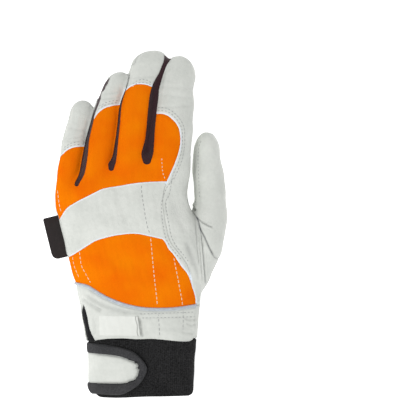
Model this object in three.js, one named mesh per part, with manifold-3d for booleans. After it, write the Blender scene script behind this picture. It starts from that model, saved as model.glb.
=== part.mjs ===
// Leather work glove for the left hand, lying palm down.
// Millimetres, +Y towards the fingertips, +X towards the thumb, +Z up.
import * as THREE from 'three';
import { LoftGeometry } from 'three/addons/geometries/LoftGeometry.js';
import { mergeVertices } from 'three/addons/utils/BufferGeometryUtils.js';
import Module from 'manifold-3d';

const wasm = await Module();
wasm.setup();

// Hand
const palmLength = 129.9;
const handHeight = 48;
const knuckleRise = 29;
const fingerThick = 24.5;
const fingerGap = 0.8;

// Fingers and thumb, from fork to tip
const indexLength = 79.6;
const indexBreadth = 31.8;
const middleLength = 85.1;
const middleBreadth = 25.4;
const ringLength = 77.3;
const ringBreadth = 21.9;
const littleLength = 63.6;
const littleBreadth = 16.7;
const thumbLength = 56.1;
const thumbBreadth = 23.9;
const thumbThick = 25;

// Cuff and closing strap
const cuffLength = 43;
const cuffBreadth = 79.5;
const cuffHeight = 37;
const cuffCorner = 8;
const cuffWall = 2.6;
const strapLength = 43.3;
const strapWidth = 39.3;
const strapThick = 2.2;
const bindingThick = 4.2;
const strapLow = 7;

// Materials and trim
const wall = 2;
const seamGap = 0.3;
const wideStrip = 3.3;
const narrowStrip = 1.5;
const littleStrip = 1.7;
const pipingWidth = 2;
const pipingRise = 0.9;
const labelThick = 0.7;
const tagThick = 1.2;
const tagWidth = 11.8;
const tagCorner = 3.5;
const tagPlace = 0.586;

// Beyond everything, for cutting shapes, and beyond one limb or opening
const reach = 2 * palmLength;
const limbReach = 10;
const openReach = 4 * wall;

// Sections: corners round a limb, squareness (2 is an ellipse), fullness below, least half sizes
const sideCount = { finger: 12, palm: 22, cuff: 24 };
const power = { finger: 2.2, palm: 2.5, cuff: 2.5 };
const belly = { palm: 1.25, cuff: 0.62 };
const leastHalf = 0.6;
const leastLining = 1.5;
const liningFork = 0.85;

// Rounded ends: steps along the dome, and how blunt its tip stays
const domeSteps = [0.5, 0.85, 1];
const domeBlunt = 1.02;

// Outlines: least distance between corners, and least square of a turned corner
const leastStep = 0.05;
const leastSquare = 0.5;

const table = (names, rows) => {
  const keys = names.split(' ');
  return rows.map((row) => Object.fromEntries(row.map((value, i) => [keys[i], value])));
};

// Plan of each finger: shares of its length along and sideways, and of its breadth
const plans = {
  index: table('along lean breadth', [
    [-0.300, -0.030, 0.860], [0.000, 0.000, 0.998], [0.130, 0.009, 0.990], [0.330, 0.029, 0.960],
    [0.539, 0.049, 0.947], [0.678, 0.058, 0.900], [0.786, 0.090, 0.786],
  ]),
  middle: table('along lean breadth', [
    [-0.280, 0.000, 1.020], [0.000, 0.000, 1.000], [0.130, 0.013, 0.955], [0.330, 0.040, 0.955],
    [0.522, 0.064, 0.939], [0.680, 0.100, 0.890], [0.810, 0.147, 0.960], [0.888, 0.180, 1.000],
  ]),
  ring: table('along lean breadth', [
    [-0.300, -0.006, 1.040], [0.000, 0.000, 1.014], [0.125, 0.023, 0.986], [0.330, 0.060, 0.950],
    [0.536, 0.100, 0.875], [0.700, 0.134, 0.775], [0.870, 0.192, 0.735],
  ]),
  little: table('along lean breadth', [
    [-0.350, 0.050, 1.040], [0.000, 0.000, 0.925], [0.140, 0.027, 0.969], [0.350, 0.062, 1.020],
    [0.560, 0.103, 1.080], [0.721, 0.144, 1.106], [0.815, 0.170, 1.050],
  ]),
};

// Side view shared by the fingers: shares of the knuckle's rise and of half the thickness
const fingerSide = table('along rise up down', [
  [-0.420, 0.95, 1.05, 1.30], [-0.200, 0.98, 1.24, 1.32], [0.000, 1.00, 1.22, 1.24],
  [0.130, 0.99, 1.08, 1.12], [0.270, 0.93, 1.00, 1.05], [0.400, 0.83, 1.00, 1.05],
  [0.540, 0.70, 0.98, 1.05], [0.680, 0.56, 0.95, 1.05], [0.800, 0.46, 0.93, 1.10],
  [1.000, 0.38, 0.80, 1.10],
]);

// Thumb: plan as on the fingers, centre as a share of its thickness, up and down of half of it
const thumbPlan = table('along lean breadth rise up down', [
  [-1.108, -0.173, 0.402, 0.70, 0.60, 1.20], [-0.950, -0.141, 0.681, 0.74, 0.95, 1.50],
  [-0.752, -0.111, 0.944, 0.76, 1.20, 1.60], [-0.554, -0.069, 1.108, 0.76, 1.28, 1.60],
  [-0.356, -0.038, 1.164, 0.72, 1.28, 1.55], [-0.185, -0.014, 1.152, 0.66, 1.22, 1.45],
  [0.000, 0.000, 1.093, 0.59, 1.14, 1.32], [0.106, 0.020, 0.975, 0.56, 1.08, 1.22],
  [0.290, 0.009, 0.972, 0.52, 1.02, 1.12], [0.475, -0.007, 0.941, 0.50, 0.98, 1.08],
  [0.640, -0.019, 0.860, 0.49, 0.95, 1.08], [0.737, -0.022, 0.790, 0.48, 0.92, 1.08],
]);

// Palm from the cuff to the forks: sides as shares of the palm's breadth, heights of the hand's
const palmPlan = table('along left right top bottom seam', [
  [0.000, -0.344, 0.463, 0.80, 0.00, 0.40], [0.060, -0.365, 0.466, 0.82, 0.00, 0.40],
  [0.134, -0.387, 0.475, 0.84, 0.00, 0.40], [0.220, -0.403, 0.496, 0.87, 0.00, 0.41],
  [0.300, -0.424, 0.525, 0.90, 0.00, 0.42], [0.379, -0.461, 0.545, 0.93, 0.02, 0.44],
  [0.465, -0.485, 0.540, 0.95, 0.06, 0.46], [0.562, -0.516, 0.508, 0.97, 0.10, 0.49],
  [0.664, -0.551, 0.465, 0.99, 0.14, 0.52], [0.761, -0.573, 0.417, 1.00, 0.18, 0.55],
  [0.835, -0.577, 0.402, 0.99, 0.21, 0.58], [0.880, -0.506, 0.406, 0.97, 0.24, 0.60],
  [0.925, -0.417, 0.409, 0.94, 0.26, 0.60], [0.970, -0.290, 0.409, 0.92, 0.28, 0.60],
  [1.010, -0.171, 0.409, 0.89, 0.31, 0.60], [1.036, -0.015, 0.398, 0.85, 0.35, 0.60],
  [1.058, 0.119, 0.372, 0.80, 0.39, 0.60],
]);

// Where each finger stands on the palm: its fork along the palm, its knuckle's height, its dome
// as a share of its length, and its distance from the next finger as a share of its breadth
const fingers = Object.fromEntries(table('name length breadth fork knuckle dome apart', [
  ['index', indexLength, indexBreadth, 1.000, 1.00, 0.214, 0.000],
  ['middle', middleLength, middleBreadth, 0.988, 1.04, 0.112, 0.013],
  ['ring', ringLength, ringBreadth, 0.926, 0.98, 0.130, 0.088],
  ['little', littleLength, littleBreadth, 0.869, 0.86, 0.185, 0.110],
]).map((finger) => [finger.name, finger]));

// The finger roots stand side by side, so their breadths make the palm's
const span = (finger) => finger.breadth * (1 + finger.apart);
const palmBreadth = Object.values(fingers).reduce((sum, finger) => sum + span(finger), 0);
const radialShare = 0.417;
let standing = radialShare * palmBreadth;
for (const [name, finger] of Object.entries(fingers)) {
  finger.rows = plans[name];
  finger.x = standing - (finger.apart + 0.5) * finger.breadth;
  standing -= span(finger);
}

// Value of a column between the rows of a table
function between(rows, column, along) {
  const found = rows.findIndex((row, i) => i > 0 && row.along >= along);
  const next = found < 0 ? rows.length - 1 : found;
  const [low, high] = [rows[next - 1], rows[next]];
  const share = THREE.MathUtils.clamp((along - low.along) / (high.along - low.along), 0, 1);
  return THREE.MathUtils.lerp(low[column], high[column], share);
}

const palmPoint = (across, along) => new THREE.Vector2(across * palmBreadth, along * palmLength);
const pointsOf = (shares) => shares.map(([across, along]) => palmPoint(across, along));
const fingerPoint = (finger, across, along) => new THREE.Vector2(
  finger.x + between(finger.rows, 'lean', along) * finger.length + across * finger.breadth,
  finger.fork * palmLength + along * finger.length,
);

// Cross-section: a rounded oval with a flat underside, set in from the outside by an inset
function section(row, sides, inset) {
  const points = [];
  const half = Math.max(row.half - inset, leastHalf);
  const round = 2 / row.power;
  const widest = Math.cos(Math.PI / sides) ** round;
  for (let i = 0; i < sides; i += 1) {
    const angle = (2 * Math.PI * (i + 0.5)) / sides;
    const across = -Math.sign(Math.cos(angle)) * Math.abs(Math.cos(angle)) ** round;
    const rise = Math.sign(Math.sin(angle)) * Math.abs(Math.sin(angle)) ** round;
    const tall = Math.max((rise > 0 ? row.up : row.down) - inset, leastHalf);
    const z = Math.max(row.z + rise * tall, row.floor + inset);
    points.push(new THREE.Vector3(row.x + (half * across) / widest, row.y, z));
  }
  return points;
}

// Closed solid from a geometry, with its shared vertices joined
function solidOf(geometry) {
  const bare = new THREE.BufferGeometry();
  bare.setAttribute('position', geometry.attributes.position);
  bare.setIndex(geometry.index);
  const merged = mergeVertices(bare, 1e-4);
  const corners = merged.index.array;
  const triangles = [];
  for (let i = 0; i < corners.length; i += 3) {
    const [a, b, c] = [corners[i], corners[i + 1], corners[i + 2]];
    if (a !== b && b !== c && c !== a) triangles.push(a, b, c);
  }
  return new wasm.Manifold(new wasm.Mesh({
    numProp: 3,
    vertProperties: new Float32Array(merged.attributes.position.array),
    triVerts: new Uint32Array(triangles),
  }));
}

const loft = (rings) => solidOf(new LoftGeometry(rings, { capStart: true, capEnd: true }));
const join = (solids) => solids.reduce((whole, solid) => whole.add(solid));

// Upright solid over an outline seen from above
function prism(outline, low = -reach, high = reach) {
  const shape = new THREE.Shape(outline);
  const solid = solidOf(new THREE.ExtrudeGeometry(shape, { depth: high - low, bevelEnabled: false }));
  return solid.translate([0, 0, low]);
}

// Outline moved outwards by a distance; its points run counterclockwise
function grown(outline, distance) {
  return outline.map((point, i) => {
    const before = outline[(i + outline.length - 1) % outline.length];
    const after = outline[(i + 1) % outline.length];
    const along = point.clone().sub(before).normalize();
    const onwards = after.clone().sub(point).normalize();
    const bisector = along.add(onwards).normalize();
    const square = Math.max(bisector.dot(onwards), leastSquare);
    const x = point.x + (bisector.y * distance) / square;
    const y = point.y - (bisector.x * distance) / square;
    return new THREE.Vector2(x, y);
  });
}

// Closed outline from runs of points, always counterclockwise
function outlineOf(...runs) {
  const points = runs.flat();
  const step = (point, i) => point.distanceTo(points[(i + 1) % points.length]);
  const apart = points.filter((point, i) => step(point, i) > leastStep);
  return THREE.ShapeUtils.isClockWise(apart) ? apart.reverse() : apart;
}

// Share of the full size at a step along the rounded end
const domeSwell = (share) => Math.sqrt(domeBlunt - share ** 2);

// Cross-section rows of the fingers, with the rounded end as a dome
function fingerRows(finger) {
  const rowAt = (along, swell) => ({
    x: fingerPoint(finger, 0, along).x,
    y: fingerPoint(finger, 0, along).y,
    half: (swell * (between(finger.rows, 'breadth', along) * finger.breadth - fingerGap)) / 2,
    z: between(fingerSide, 'rise', along) * finger.knuckle * knuckleRise,
    up: (swell * between(fingerSide, 'up', along) * fingerThick) / 2,
    down: (swell * between(fingerSide, 'down', along) * fingerThick) / 2,
    floor: 0,
    power: power.finger,
  });
  const shaft = finger.rows.map((row) => rowAt(row.along, 1));
  const from = 1 - finger.dome;
  const domed = domeSteps.map((share) => rowAt(from + share * finger.dome, domeSwell(share)));
  return [...shaft, ...domed];
}

const thumbAcross = 0.555;
const thumb = {
  x: thumbAcross * palmBreadth,
  fork: 0.743,
  length: thumbLength,
  breadth: thumbBreadth,
  rows: thumbPlan,
  dome: 0.263,
};
function thumbRows() {
  const rowAt = (along, swell) => ({
    x: fingerPoint(thumb, 0, along).x,
    y: fingerPoint(thumb, 0, along).y,
    half: (swell * between(thumbPlan, 'breadth', along) * thumb.breadth) / 2,
    z: between(thumbPlan, 'rise', along) * thumbThick,
    up: (swell * between(thumbPlan, 'up', along) * thumbThick) / 2,
    down: (swell * between(thumbPlan, 'down', along) * thumbThick) / 2,
    floor: 0,
    power: power.finger,
  });
  const shaft = thumbPlan.map((row) => rowAt(row.along, 1));
  const domed = domeSteps.map((share) => rowAt(1 + (share - 1) * thumb.dome, domeSwell(share)));
  return [...shaft, ...domed];
}

function palmRow(row) {
  const bottom = row.bottom * handHeight;
  const middle = row.seam * handHeight;
  return {
    x: ((row.left + row.right) / 2) * palmBreadth,
    y: row.along * palmLength,
    half: ((row.right - row.left) / 2) * palmBreadth,
    z: middle,
    up: row.top * handHeight - middle,
    down: (middle - bottom) * belly.palm,
    floor: bottom,
    power: power.palm,
  };
}

// Solid inside rows of sections; the lining's ends are drawn back by the wall
function body(rows, sides, inset) {
  const last = rows[rows.length - 1];
  const roomy = (row) => row.half > inset + leastLining && row.y < last.y - inset;
  const kept = rows.filter((row, i) => inset <= 0 || i === 0 || roomy(row));
  return loft(kept.map((row) => section(row, sides, inset)));
}

const palmRows = palmPlan.map(palmRow);
const forkRows = palmPlan.findIndex((row) => row.along > liningFork);
const limbs = [...Object.values(fingers).map(fingerRows), thumbRows()];

// The palm's lining opens through the wrist and stops short of the forks
function palmBody(inset) {
  if (inset <= 0) return body(palmRows, sideCount.palm, inset);
  const opened = { ...palmRows[0], y: palmRows[0].y - openReach };
  const inner = palmRows.map((row, i) => (i < forkRows ? row : { ...row, y: row.y - inset }));
  return loft([opened, ...inner].map((row) => section(row, sideCount.palm, inset)));
}

const hull = join([palmBody(0), ...limbs.map((rows) => body(rows, sideCount.finger, 0))]);
const hollow = join([palmBody(wall), ...limbs.map((rows) => body(rows, sideCount.finger, wall))]);
let shell = hull.subtract(hollow);

const pieces = {};

// Cuts a piece out of what is left, with half the seam's gap on each side of the line
function claim(rest, outline) {
  return {
    piece: rest.intersect(prism(grown(outline, -seamGap / 2))),
    rest: rest.subtract(prism(grown(outline, seamGap / 2))),
  };
}

// Seam between the thumb and the hand
const thumbFoot = 0.436;
const thumbSeam = [
  [0.4285, 1.120], [0.4285, 0.960], [0.425, 0.812], [0.414, 0.755], [0.439, 0.716], [0.476, 0.676],
  [0.491, 0.630], [0.524, 0.579], [0.562, 0.513], [0.593, 0.467], [0.660, thumbFoot],
];
const thumbOutline = outlineOf(
  pointsOf(thumbSeam),
  pointsOf([[1, thumbFoot], [1, 1.5], [0.455, 1.5], [0.455, 1.22]]),
);
let cut = claim(shell, thumbOutline);
const thumbShell = cut.piece;
shell = cut.rest;

// Everything below the side seams, as slanted slabs along a limb
function below(rows, tilt, lift) {
  return loft(rows.map((row) => {
    const [low, left, right] = [-reach, -palmBreadth, palmBreadth];
    const edge = row.z + lift;
    const corners = [
      [left, edge - tilt * left], [right, edge - tilt * right], [right, low], [left, low],
    ];
    return corners.map(([x, z]) => new THREE.Vector3(row.x + x, row.y, z));
  }));
}

// Outline around one finger from its fork to its tip, halfway into the gaps beside it
function fingerEdge(finger, side) {
  const rows = fingerRows(finger).filter((row) => row.y >= finger.fork * palmLength);
  return rows.map((row) => new THREE.Vector2(row.x + side * (row.half + fingerGap / 2), row.y));
}
function fingerOutline(finger) {
  const tip = fingerRows(finger).at(-1);
  const end = new THREE.Vector2(tip.x, tip.y + fingerGap);
  return outlineOf(fingerEdge(finger, 1), [end], fingerEdge(finger, -1).reverse());
}

const indexEdge = fingerEdge(fingers.index, -1);
const indexTip = indexEdge.at(-1);
const prismRows = Object.entries(fingers).map(([name, finger]) => [name, prism(fingerOutline(finger))]);
const prisms = Object.fromEntries(prismRows);

// Rows of a limb, with one more before them and one after
function extended(rows) {
  const [start, end] = [rows[0], rows[rows.length - 1]];
  return [{ ...start, y: start.y - limbReach }, ...rows, { ...end, y: end.y + limbReach }];
}

// Side seams, then the leather below and above them
function underside(lift) {
  const last = palmRows[palmRows.length - 1];
  const beyond = { ...last, y: last.y + palmLength };
  let under = below([{ ...palmRows[0], y: -palmLength }, ...palmRows, beyond], 0, lift);
  for (const [name, finger] of Object.entries(fingers)) {
    const rows = fingerRows(finger);
    const slab = below(extended(rows), 0, lift);
    under = under.subtract(prisms[name]).add(slab.intersect(prisms[name]));
  }
  return under;
}

// Black strips between the fingers, from the fork to the tips
const slots = [
  ['fourchette_index_middle', fingers.index, fingers.middle, wideStrip, 0.0],
  ['fourchette_middle_ring', fingers.middle, fingers.ring, narrowStrip, 1.6],
  ['fourchette_ring_little', fingers.ring, fingers.little, littleStrip, 0.4],
];
const slotSteps = 9;
const slotTaper = 4;
const slotBend = 0.6;
const slotEnd = table('side depth', [[1, 0], [1, 0.8], [0, 1.5], [-1, 0.8], [-1, 0]]);
for (const [name, radial, ulnar, strip, drop] of slots) {
  const share = (finger, y) => (y - finger.fork * palmLength) / finger.length;
  const tipOf = (finger) => finger.fork * palmLength + finger.length;
  const edge = (finger, side, y) => {
    const along = Math.min(share(finger, y), 1 - finger.dome / 2);
    return fingerPoint(finger, (side * between(finger.rows, 'breadth', along)) / 2, along).x;
  };
  const fork = ((radial.fork + ulnar.fork) / 2) * palmLength;
  const top = Math.max(tipOf(radial), tipOf(ulnar));
  const heightAt = (i) => THREE.MathUtils.lerp(fork, top - slotTaper * strip, i / (slotSteps - 1));
  const heights = Array.from({ length: slotSteps }, (_, i) => heightAt(i));
  const longer = tipOf(radial) > tipOf(ulnar) ? radial : ulnar;
  const side = (finger, sign) => heights.map((y) => {
    const past = finger !== longer && y > tipOf(finger) - finger.dome * finger.length * slotBend;
    const x = past ? edge(longer, -sign, y) - wall * sign : edge(finger, sign, y) - sign * strip;
    return new THREE.Vector2(x, y);
  });
  const middle = (edge(radial, -1, fork) + edge(ulnar, 1, fork)) / 2;
  const wide = strip + drop;
  const round = slotEnd.map((at) => new THREE.Vector2(middle + at.side * wide, fork - at.depth * wide));
  const tip = new THREE.Vector2(edge(longer, longer === radial ? -1 : 1, top - strip), top - strip);
  cut = claim(shell, outlineOf(side(ulnar, 1).reverse(), round.reverse(), side(radial, -1), [tip]));
  pieces[name] = cut.piece;
  shell = cut.rest;
}

// Palm side: a crescent beside the thumb's ball, the gripping patch, and the rest
const frontShell = shell.intersect(underside(-seamGap / 2));
const backShell = shell.subtract(underside(seamGap / 2));
const ballFoot = [-0.010, 0.194];
const crescentSeam = [[0.073, 0.690], [0.065, 0.594], [0.020, 0.379], ballFoot];
const crescentEdge = [
  [-0.010, 0.194], [-0.080, 0.235], [-0.127, 0.295], [-0.148, 0.392], [-0.125, 0.500], [-0.093, 0.579],
  [-0.038, 0.643], [0.073, 0.690],
];
cut = claim(frontShell, outlineOf(pointsOf(crescentSeam), pointsOf(crescentEdge)));
pieces.palm_crescent = cut.piece;
const patchSeam = [ballFoot, [0.020, 0.379], [0.065, 0.594], [0.080, 0.748], [0.092, 0.887]];
const ballSeam = [
  [0.800, 0.590], [0.663, 0.520], [0.523, 0.425], [0.395, 0.320], [0.254, 0.212], [0.141, 0.167], ballFoot,
];
const beyondIndex = new THREE.Vector2(indexTip.x, indexTip.y + 2 * fingerGap);
cut = claim(cut.rest, outlineOf(
  pointsOf(patchSeam),
  indexEdge,
  [beyondIndex, palmPoint(1, 2), palmPoint(1, 0.6)],
  pointsOf(ballSeam),
));
pieces.grip_patch = cut.piece;
pieces.palm_leather = cut.rest;

// Thumb: the seam runs high on the finger side and low on the outer side
const thumbTilt = 0.42;
const thumbSlab = (lift) => below(extended(thumbRows()), thumbTilt, lift);
pieces.thumb_front = thumbShell.intersect(thumbSlab(-seamGap / 2));
pieces.thumb_back = thumbShell.subtract(thumbSlab(seamGap / 2));

// Orange cloth over the knuckles, with an arc on each finger
const arcs = {
  index: [
    [0.15, -0.019], [0.22, 0.121], [0.22, 0.232], [0.15, 0.335], [-0.01, 0.409], [-0.19, 0.451], [-0.37, 0.456],
  ],
  middle: [[0.45, 0.655], [0.33, 0.670], [0.13, 0.696], [-0.09, 0.704], [-0.36, 0.687], [-0.46, 0.635]],
  ring: [[0.47, 0.680], [0.41, 0.680], [0.14, 0.670], [-0.09, 0.651], [-0.33, 0.603], [-0.45, 0.536]],
  little: [[0.50, 0.460], [0.38, 0.458], [0.10, 0.452], [-0.10, 0.437], [-0.28, 0.408], [-0.45, 0.360],
    [-0.54, 0.325]],
};
const arcOf = (name) => arcs[name].map(([across, along]) => fingerPoint(fingers[name], across, along));
const knuckleEdge = [
  [-0.610, 0.619], [-0.550, 0.681], [-0.498, 0.738], [-0.446, 0.767], [-0.387, 0.792], [-0.290, 0.829],
  [-0.216, 0.855], [-0.104, 0.869], [0.007, 0.884], [0.119, 0.892], [0.245, 0.895],
];
cut = claim(backShell, outlineOf(
  pointsOf(knuckleEdge),
  arcOf('index'),
  arcOf('middle'),
  arcOf('ring'),
  arcOf('little'),
  [fingerPoint(fingers.little, -0.9, 0.36), palmPoint(-0.80, 0.9), palmPoint(-0.80, 0.619)],
));
pieces.knuckle_panel = cut.piece;

// Leather down the thumb side, from the index finger to the wrist
const sideFoot = [0.460, 0.190];
const lowSide = [sideFoot, [0.455, 0.240], [0.442, 0.274], [0.428, 0.308]];
const sideSeam = [
  [0.245, 0.895], [0.222, 0.835], [0.216, 0.778], [0.223, 0.716], [0.242, 0.641], [0.256, 0.584],
  [0.289, 0.533], [0.341, 0.482], [0.376, 0.448], [0.402, 0.411], [0.416, 0.370], ...[...lowSide].reverse(),
];
const outerSide = pointsOf([[0.9, sideFoot[1]], [0.9, 1]]);
const indexMiddle = fingerPoint(fingers.index, 0, 0.3);
const indexSide = outlineOf(
  pointsOf(sideSeam),
  [...outerSide, new THREE.Vector2(outerSide[1].x, beyondIndex.y), beyondIndex],
  indexEdge.filter((point) => point.y > indexMiddle.y).reverse(),
  [indexMiddle, palmPoint(0.26, 0.95)],
);
cut = claim(cut.rest, indexSide);
pieces.index_back = cut.piece;
for (const name of ['middle', 'ring', 'little']) {
  cut = claim(cut.rest, fingerOutline(fingers[name]));
  pieces[`${name}_back`] = cut.piece;
}

// Grey piping stands proud between the lower orange cloth and the wrist
const pipingLine = pointsOf([
  [-0.560, 0.330], [-0.409, 0.311], [-0.342, 0.300], [-0.290, 0.277], [-0.216, 0.243], [-0.141, 0.217],
  [-0.067, 0.197], [0.007, 0.183], [0.082, 0.174], [0.186, 0.171], [0.305, 0.174], sideFoot,
]);
const shifted = (line, y) => line.map((point) => new THREE.Vector2(point.x, point.y + y));
const ribbon = outlineOf(shifted(pipingLine, -pipingWidth / 2), shifted(pipingLine, pipingWidth / 2).reverse());
const proud = palmBody(-pipingRise).subtract(hollow);
pieces.piping = proud.intersect(prism(grown(ribbon, -seamGap / 2))).subtract(underside(seamGap / 2));
cut.rest = cut.rest.subtract(prism(grown(ribbon, seamGap / 2)));

// Lower orange cloth
const clothTop = [
  [0.216, 0.567], [0.119, 0.584], [0.045, 0.596], [-0.030, 0.598], [-0.141, 0.587], [-0.216, 0.573],
  [-0.290, 0.553], [-0.402, 0.499], [-0.483, 0.465], [-0.610, 0.436],
];
const clothSide = [
  ...lowSide, [0.414, 0.342], [0.392, 0.377], [0.355, 0.411], [0.325, 0.445], [0.296, 0.479], [0.258, 0.513],
  [0.236, 0.547], [0.216, 0.567],
];
cut = claim(cut.rest, outlineOf(
  pointsOf(clothSide),
  pointsOf(clothTop),
  pointsOf([[-0.8, 0.436], [-0.8, 0.340]]),
  pipingLine,
));
pieces.back_panel = cut.piece;

// White band between the two orange cloths
cut = claim(cut.rest, outlineOf(pointsOf([[-0.8, 0.38], [0.2, 0.38], [0.3, 0.25], [0.7, 0.25], [0.7, 0.92], [-0.8, 0.92]])));
pieces.back_band = cut.piece;

// Elastic wedge in the wrist
cut = claim(cut.rest, outlineOf(
  pointsOf([[-0.372, 0.190], [-0.391, 0.146], [-0.387, 0.100], [-0.368, 0.049], [-0.338, -0.020]]),
  pointsOf([[-0.269, -0.020], [-0.307, 0.020], [-0.330, 0.066], [-0.345, 0.129], [-0.364, 0.175]]),
));
pieces.wrist_gusset = cut.piece;
pieces.wrist_panel = cut.rest;

// Blank woven label lying on the wrist
const labelCorners = [[-0.254, 0.134], [0.034, 0.129], [0.055, 0.020], [-0.250, 0.021]];
pieces.size_label = palmBody(-seamGap - labelThick).subtract(palmBody(-seamGap))
  .intersect(prism(outlineOf(pointsOf(labelCorners)), handHeight / 2, reach));

// Blank tag held in the side seam
const tagStart = palmPoint(-0.562, 0.704);
const tagStop = palmPoint(-0.486, 0.468);
const tagDown = tagStop.clone().sub(tagStart).normalize();
const tagOut = new THREE.Vector2(tagDown.y, -tagDown.x);
const tagAt = (from, out, down) => from.clone().addScaledVector(tagOut, out).addScaledVector(tagDown, down);
const tagRound = { out: 0.93, up: 0.3 };
const tagOutline = outlineOf([
  tagAt(tagStart, -tagWidth, 0),
  tagAt(tagStart, tagWidth, 0),
  tagAt(tagStop, tagWidth, -tagCorner),
  tagAt(tagStop, tagWidth * tagRound.out, -tagCorner * tagRound.up),
  tagAt(tagStop, tagWidth - tagCorner, 0),
  tagAt(tagStop, -tagWidth, 0),
]);
const tagHeight = between(palmPlan, 'seam', tagPlace) * handHeight;
const tagSheet = prism(tagOutline, tagHeight - tagThick / 2, tagHeight + tagThick / 2);
pieces.side_tag = tagSheet.subtract(palmBody(-seamGap));

// Knitted cuff: shares of its breadth and height by shares of its length
const cuffPlan = table('down breadth height', [
  [0.00, 1.015, 1.03], [0.12, 1.010, 1.00], [0.50, 1.000, 0.99], [1.00, 0.985, 0.97],
]);
const cuffLean = 0.03;
function cuffRows() {
  const centre = ((palmPlan[0].left + palmPlan[0].right) / 2) * palmBreadth;
  return cuffPlan.map((row) => ({
    x: centre - row.down * cuffLean * cuffBreadth,
    y: -seamGap - row.down * (cuffLength - seamGap),
    half: (row.breadth * cuffBreadth) / 2,
    z: cuffHeight / 2,
    up: (row.height - 0.5) * cuffHeight,
    down: belly.cuff * cuffHeight,
    floor: 0,
    power: power.cuff,
  })).reverse();
}
const cuffOuter = cuffRows();
const cuffBody = (inset) => loft(cuffOuter.map((row) => section(row, sideCount.cuff, inset)));
const cuffBore = loft(cuffOuter.map((row, i) => section(
  { ...row, y: row.y + (i === 0 ? -wall : (i === cuffOuter.length - 1) * wall) }, sideCount.cuff, cuffWall,
)));
const cuffEnd = cuffOuter[0];
// Rounded corners of its end: shares of the half breadth across and of the corner's size up
const cuffCorners = table('across up', [
  [-1, 0.9], [-0.985, 0.35], [-0.94, 0.1], [-0.82, 0], [0.82, 0.0625], [0.94, 0.15], [0.985, 0.35], [1, 0.9],
]);
const cuffSpare = 0.5;
const cuffAt = ({ across, up }) => new THREE.Vector2(
  cuffEnd.x + across * (cuffEnd.half + cuffSpare),
  cuffEnd.y + cuffCorner * up,
);
const cuffTop = cuffEnd.y + 2 * cuffCorner;
const cuffOutline = outlineOf(
  cuffCorners.map(cuffAt),
  [new THREE.Vector2(reach, cuffTop), new THREE.Vector2(reach, reach)],
  [new THREE.Vector2(-reach, reach), new THREE.Vector2(-reach, cuffTop)],
);
pieces.cuff = cuffBody(0).subtract(cuffBore).intersect(prism(cuffOutline));

// Closing strap over the cuff, bound along its edge
const strapAt = (across, along) => new THREE.Vector2(
  cuffEnd.x - cuffEnd.half + across * strapLength,
  -cuffLength / 2 + along * strapWidth,
);
const strapPoints = (rows) => rows.map(([across, along]) => strapAt(across, along));
const bindingEdge = strapPoints([
  [-0.3, -0.49], [0.15, -0.49], [0.52, -0.50], [0.68, -0.44], [0.84, -0.326], [0.945, -0.188], [1.0, 0],
  [0.91, 0.173], [0.77, 0.309], [0.59, 0.384], [0.33, 0.443], [-0.3, 0.480],
]);
const leatherEdge = strapPoints([
  [-0.3, -0.279], [0.335, -0.288], [0.67, -0.279], [0.77, -0.23], [0.866, -0.075], [0.84, 0.058], [0.77, 0.117],
  [0.635, 0.192], [0.5, 0.241], [-0.3, 0.288],
]);
const strapBody = (thick) => cuffBody(-seamGap - thick).subtract(cuffBody(-seamGap));
const closed = (edge) => outlineOf(edge, [edge[edge.length - 1], edge[0]]);
const strapRoom = (outline) => prism(outline, strapLow, reach);
pieces.strap_leather = strapBody(strapThick).intersect(strapRoom(grown(closed(leatherEdge), -seamGap)));
pieces.strap_binding = strapBody(bindingThick).intersect(strapRoom(closed(bindingEdge)))
  .subtract(strapRoom(closed(leatherEdge)));

// Colours by node, with roughness
const looks = {
  palm_leather: [0xd9ded8, 0.62],
  palm_crescent: [0xdde2dc, 0.62],
  grip_patch: [0xdbe0da, 0.62],
  thumb_front: [0xd8ddd7, 0.62],
  thumb_back: [0xdde2dc, 0.62],
  index_back: [0xdadfd9, 0.62],
  middle_back: [0xdce1db, 0.62],
  ring_back: [0xdadfd9, 0.62],
  little_back: [0xdce1db, 0.62],
  knuckle_panel: [0xf27808, 0.8],
  back_band: [0xe0e4df, 0.6],
  back_panel: [0xf07406, 0.8],
  piping: [0xb9c0c8, 0.45],
  wrist_panel: [0xdde2dc, 0.62],
  wrist_gusset: [0x252427, 0.85],
  fourchette_index_middle: [0x30242a, 0.75],
  fourchette_middle_ring: [0x30242a, 0.75],
  fourchette_ring_little: [0x30242a, 0.75],
  cuff: [0x282829, 0.9],
  strap_leather: [0xe0e3de, 0.62],
  strap_binding: [0x3a3a3c, 0.75],
  side_tag: [0x322a2a, 0.7],
  size_label: [0xe6e8e4, 0.7],
};

function meshOf(name, solid) {
  const { vertProperties, triVerts } = solid.getMesh();
  const geometry = new THREE.BufferGeometry();
  geometry.setAttribute('position', new THREE.BufferAttribute(new Float32Array(vertProperties), 3));
  geometry.setIndex(new THREE.BufferAttribute(new Uint32Array(triVerts), 1));
  geometry.computeVertexNormals();
  const [color, roughness] = looks[name];
  const mesh = new THREE.Mesh(geometry, new THREE.MeshStandardMaterial({ color, roughness, metalness: 0 }));
  mesh.name = name;
  return mesh;
}

// The origin is the middle of the footprint, on the surface that the glove lies on
const glove = new THREE.Group();
for (const name of Object.keys(looks)) glove.add(meshOf(name, pieces[name]));
const middle = new THREE.Box3().setFromObject(glove).getCenter(new THREE.Vector3());
glove.position.set(-middle.x, -middle.y, 0);

export default glove;
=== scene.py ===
"""Leather work glove for the left hand, lying palm down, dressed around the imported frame.

The hand is one field of distances, made into a fine surface, cut along the seams and
folded, so each sewn piece keeps the place of the solid that it stands for.
Millimetres until a mesh is made, then metres. +Y towards the fingertips, +X towards the
thumb, +Z up. Shares are of the palm's breadth and length, measured from the wrist seam.
"""

from __future__ import annotations

import logging
import math
from dataclasses import dataclass, field
from enum import Enum
from itertools import product

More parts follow.
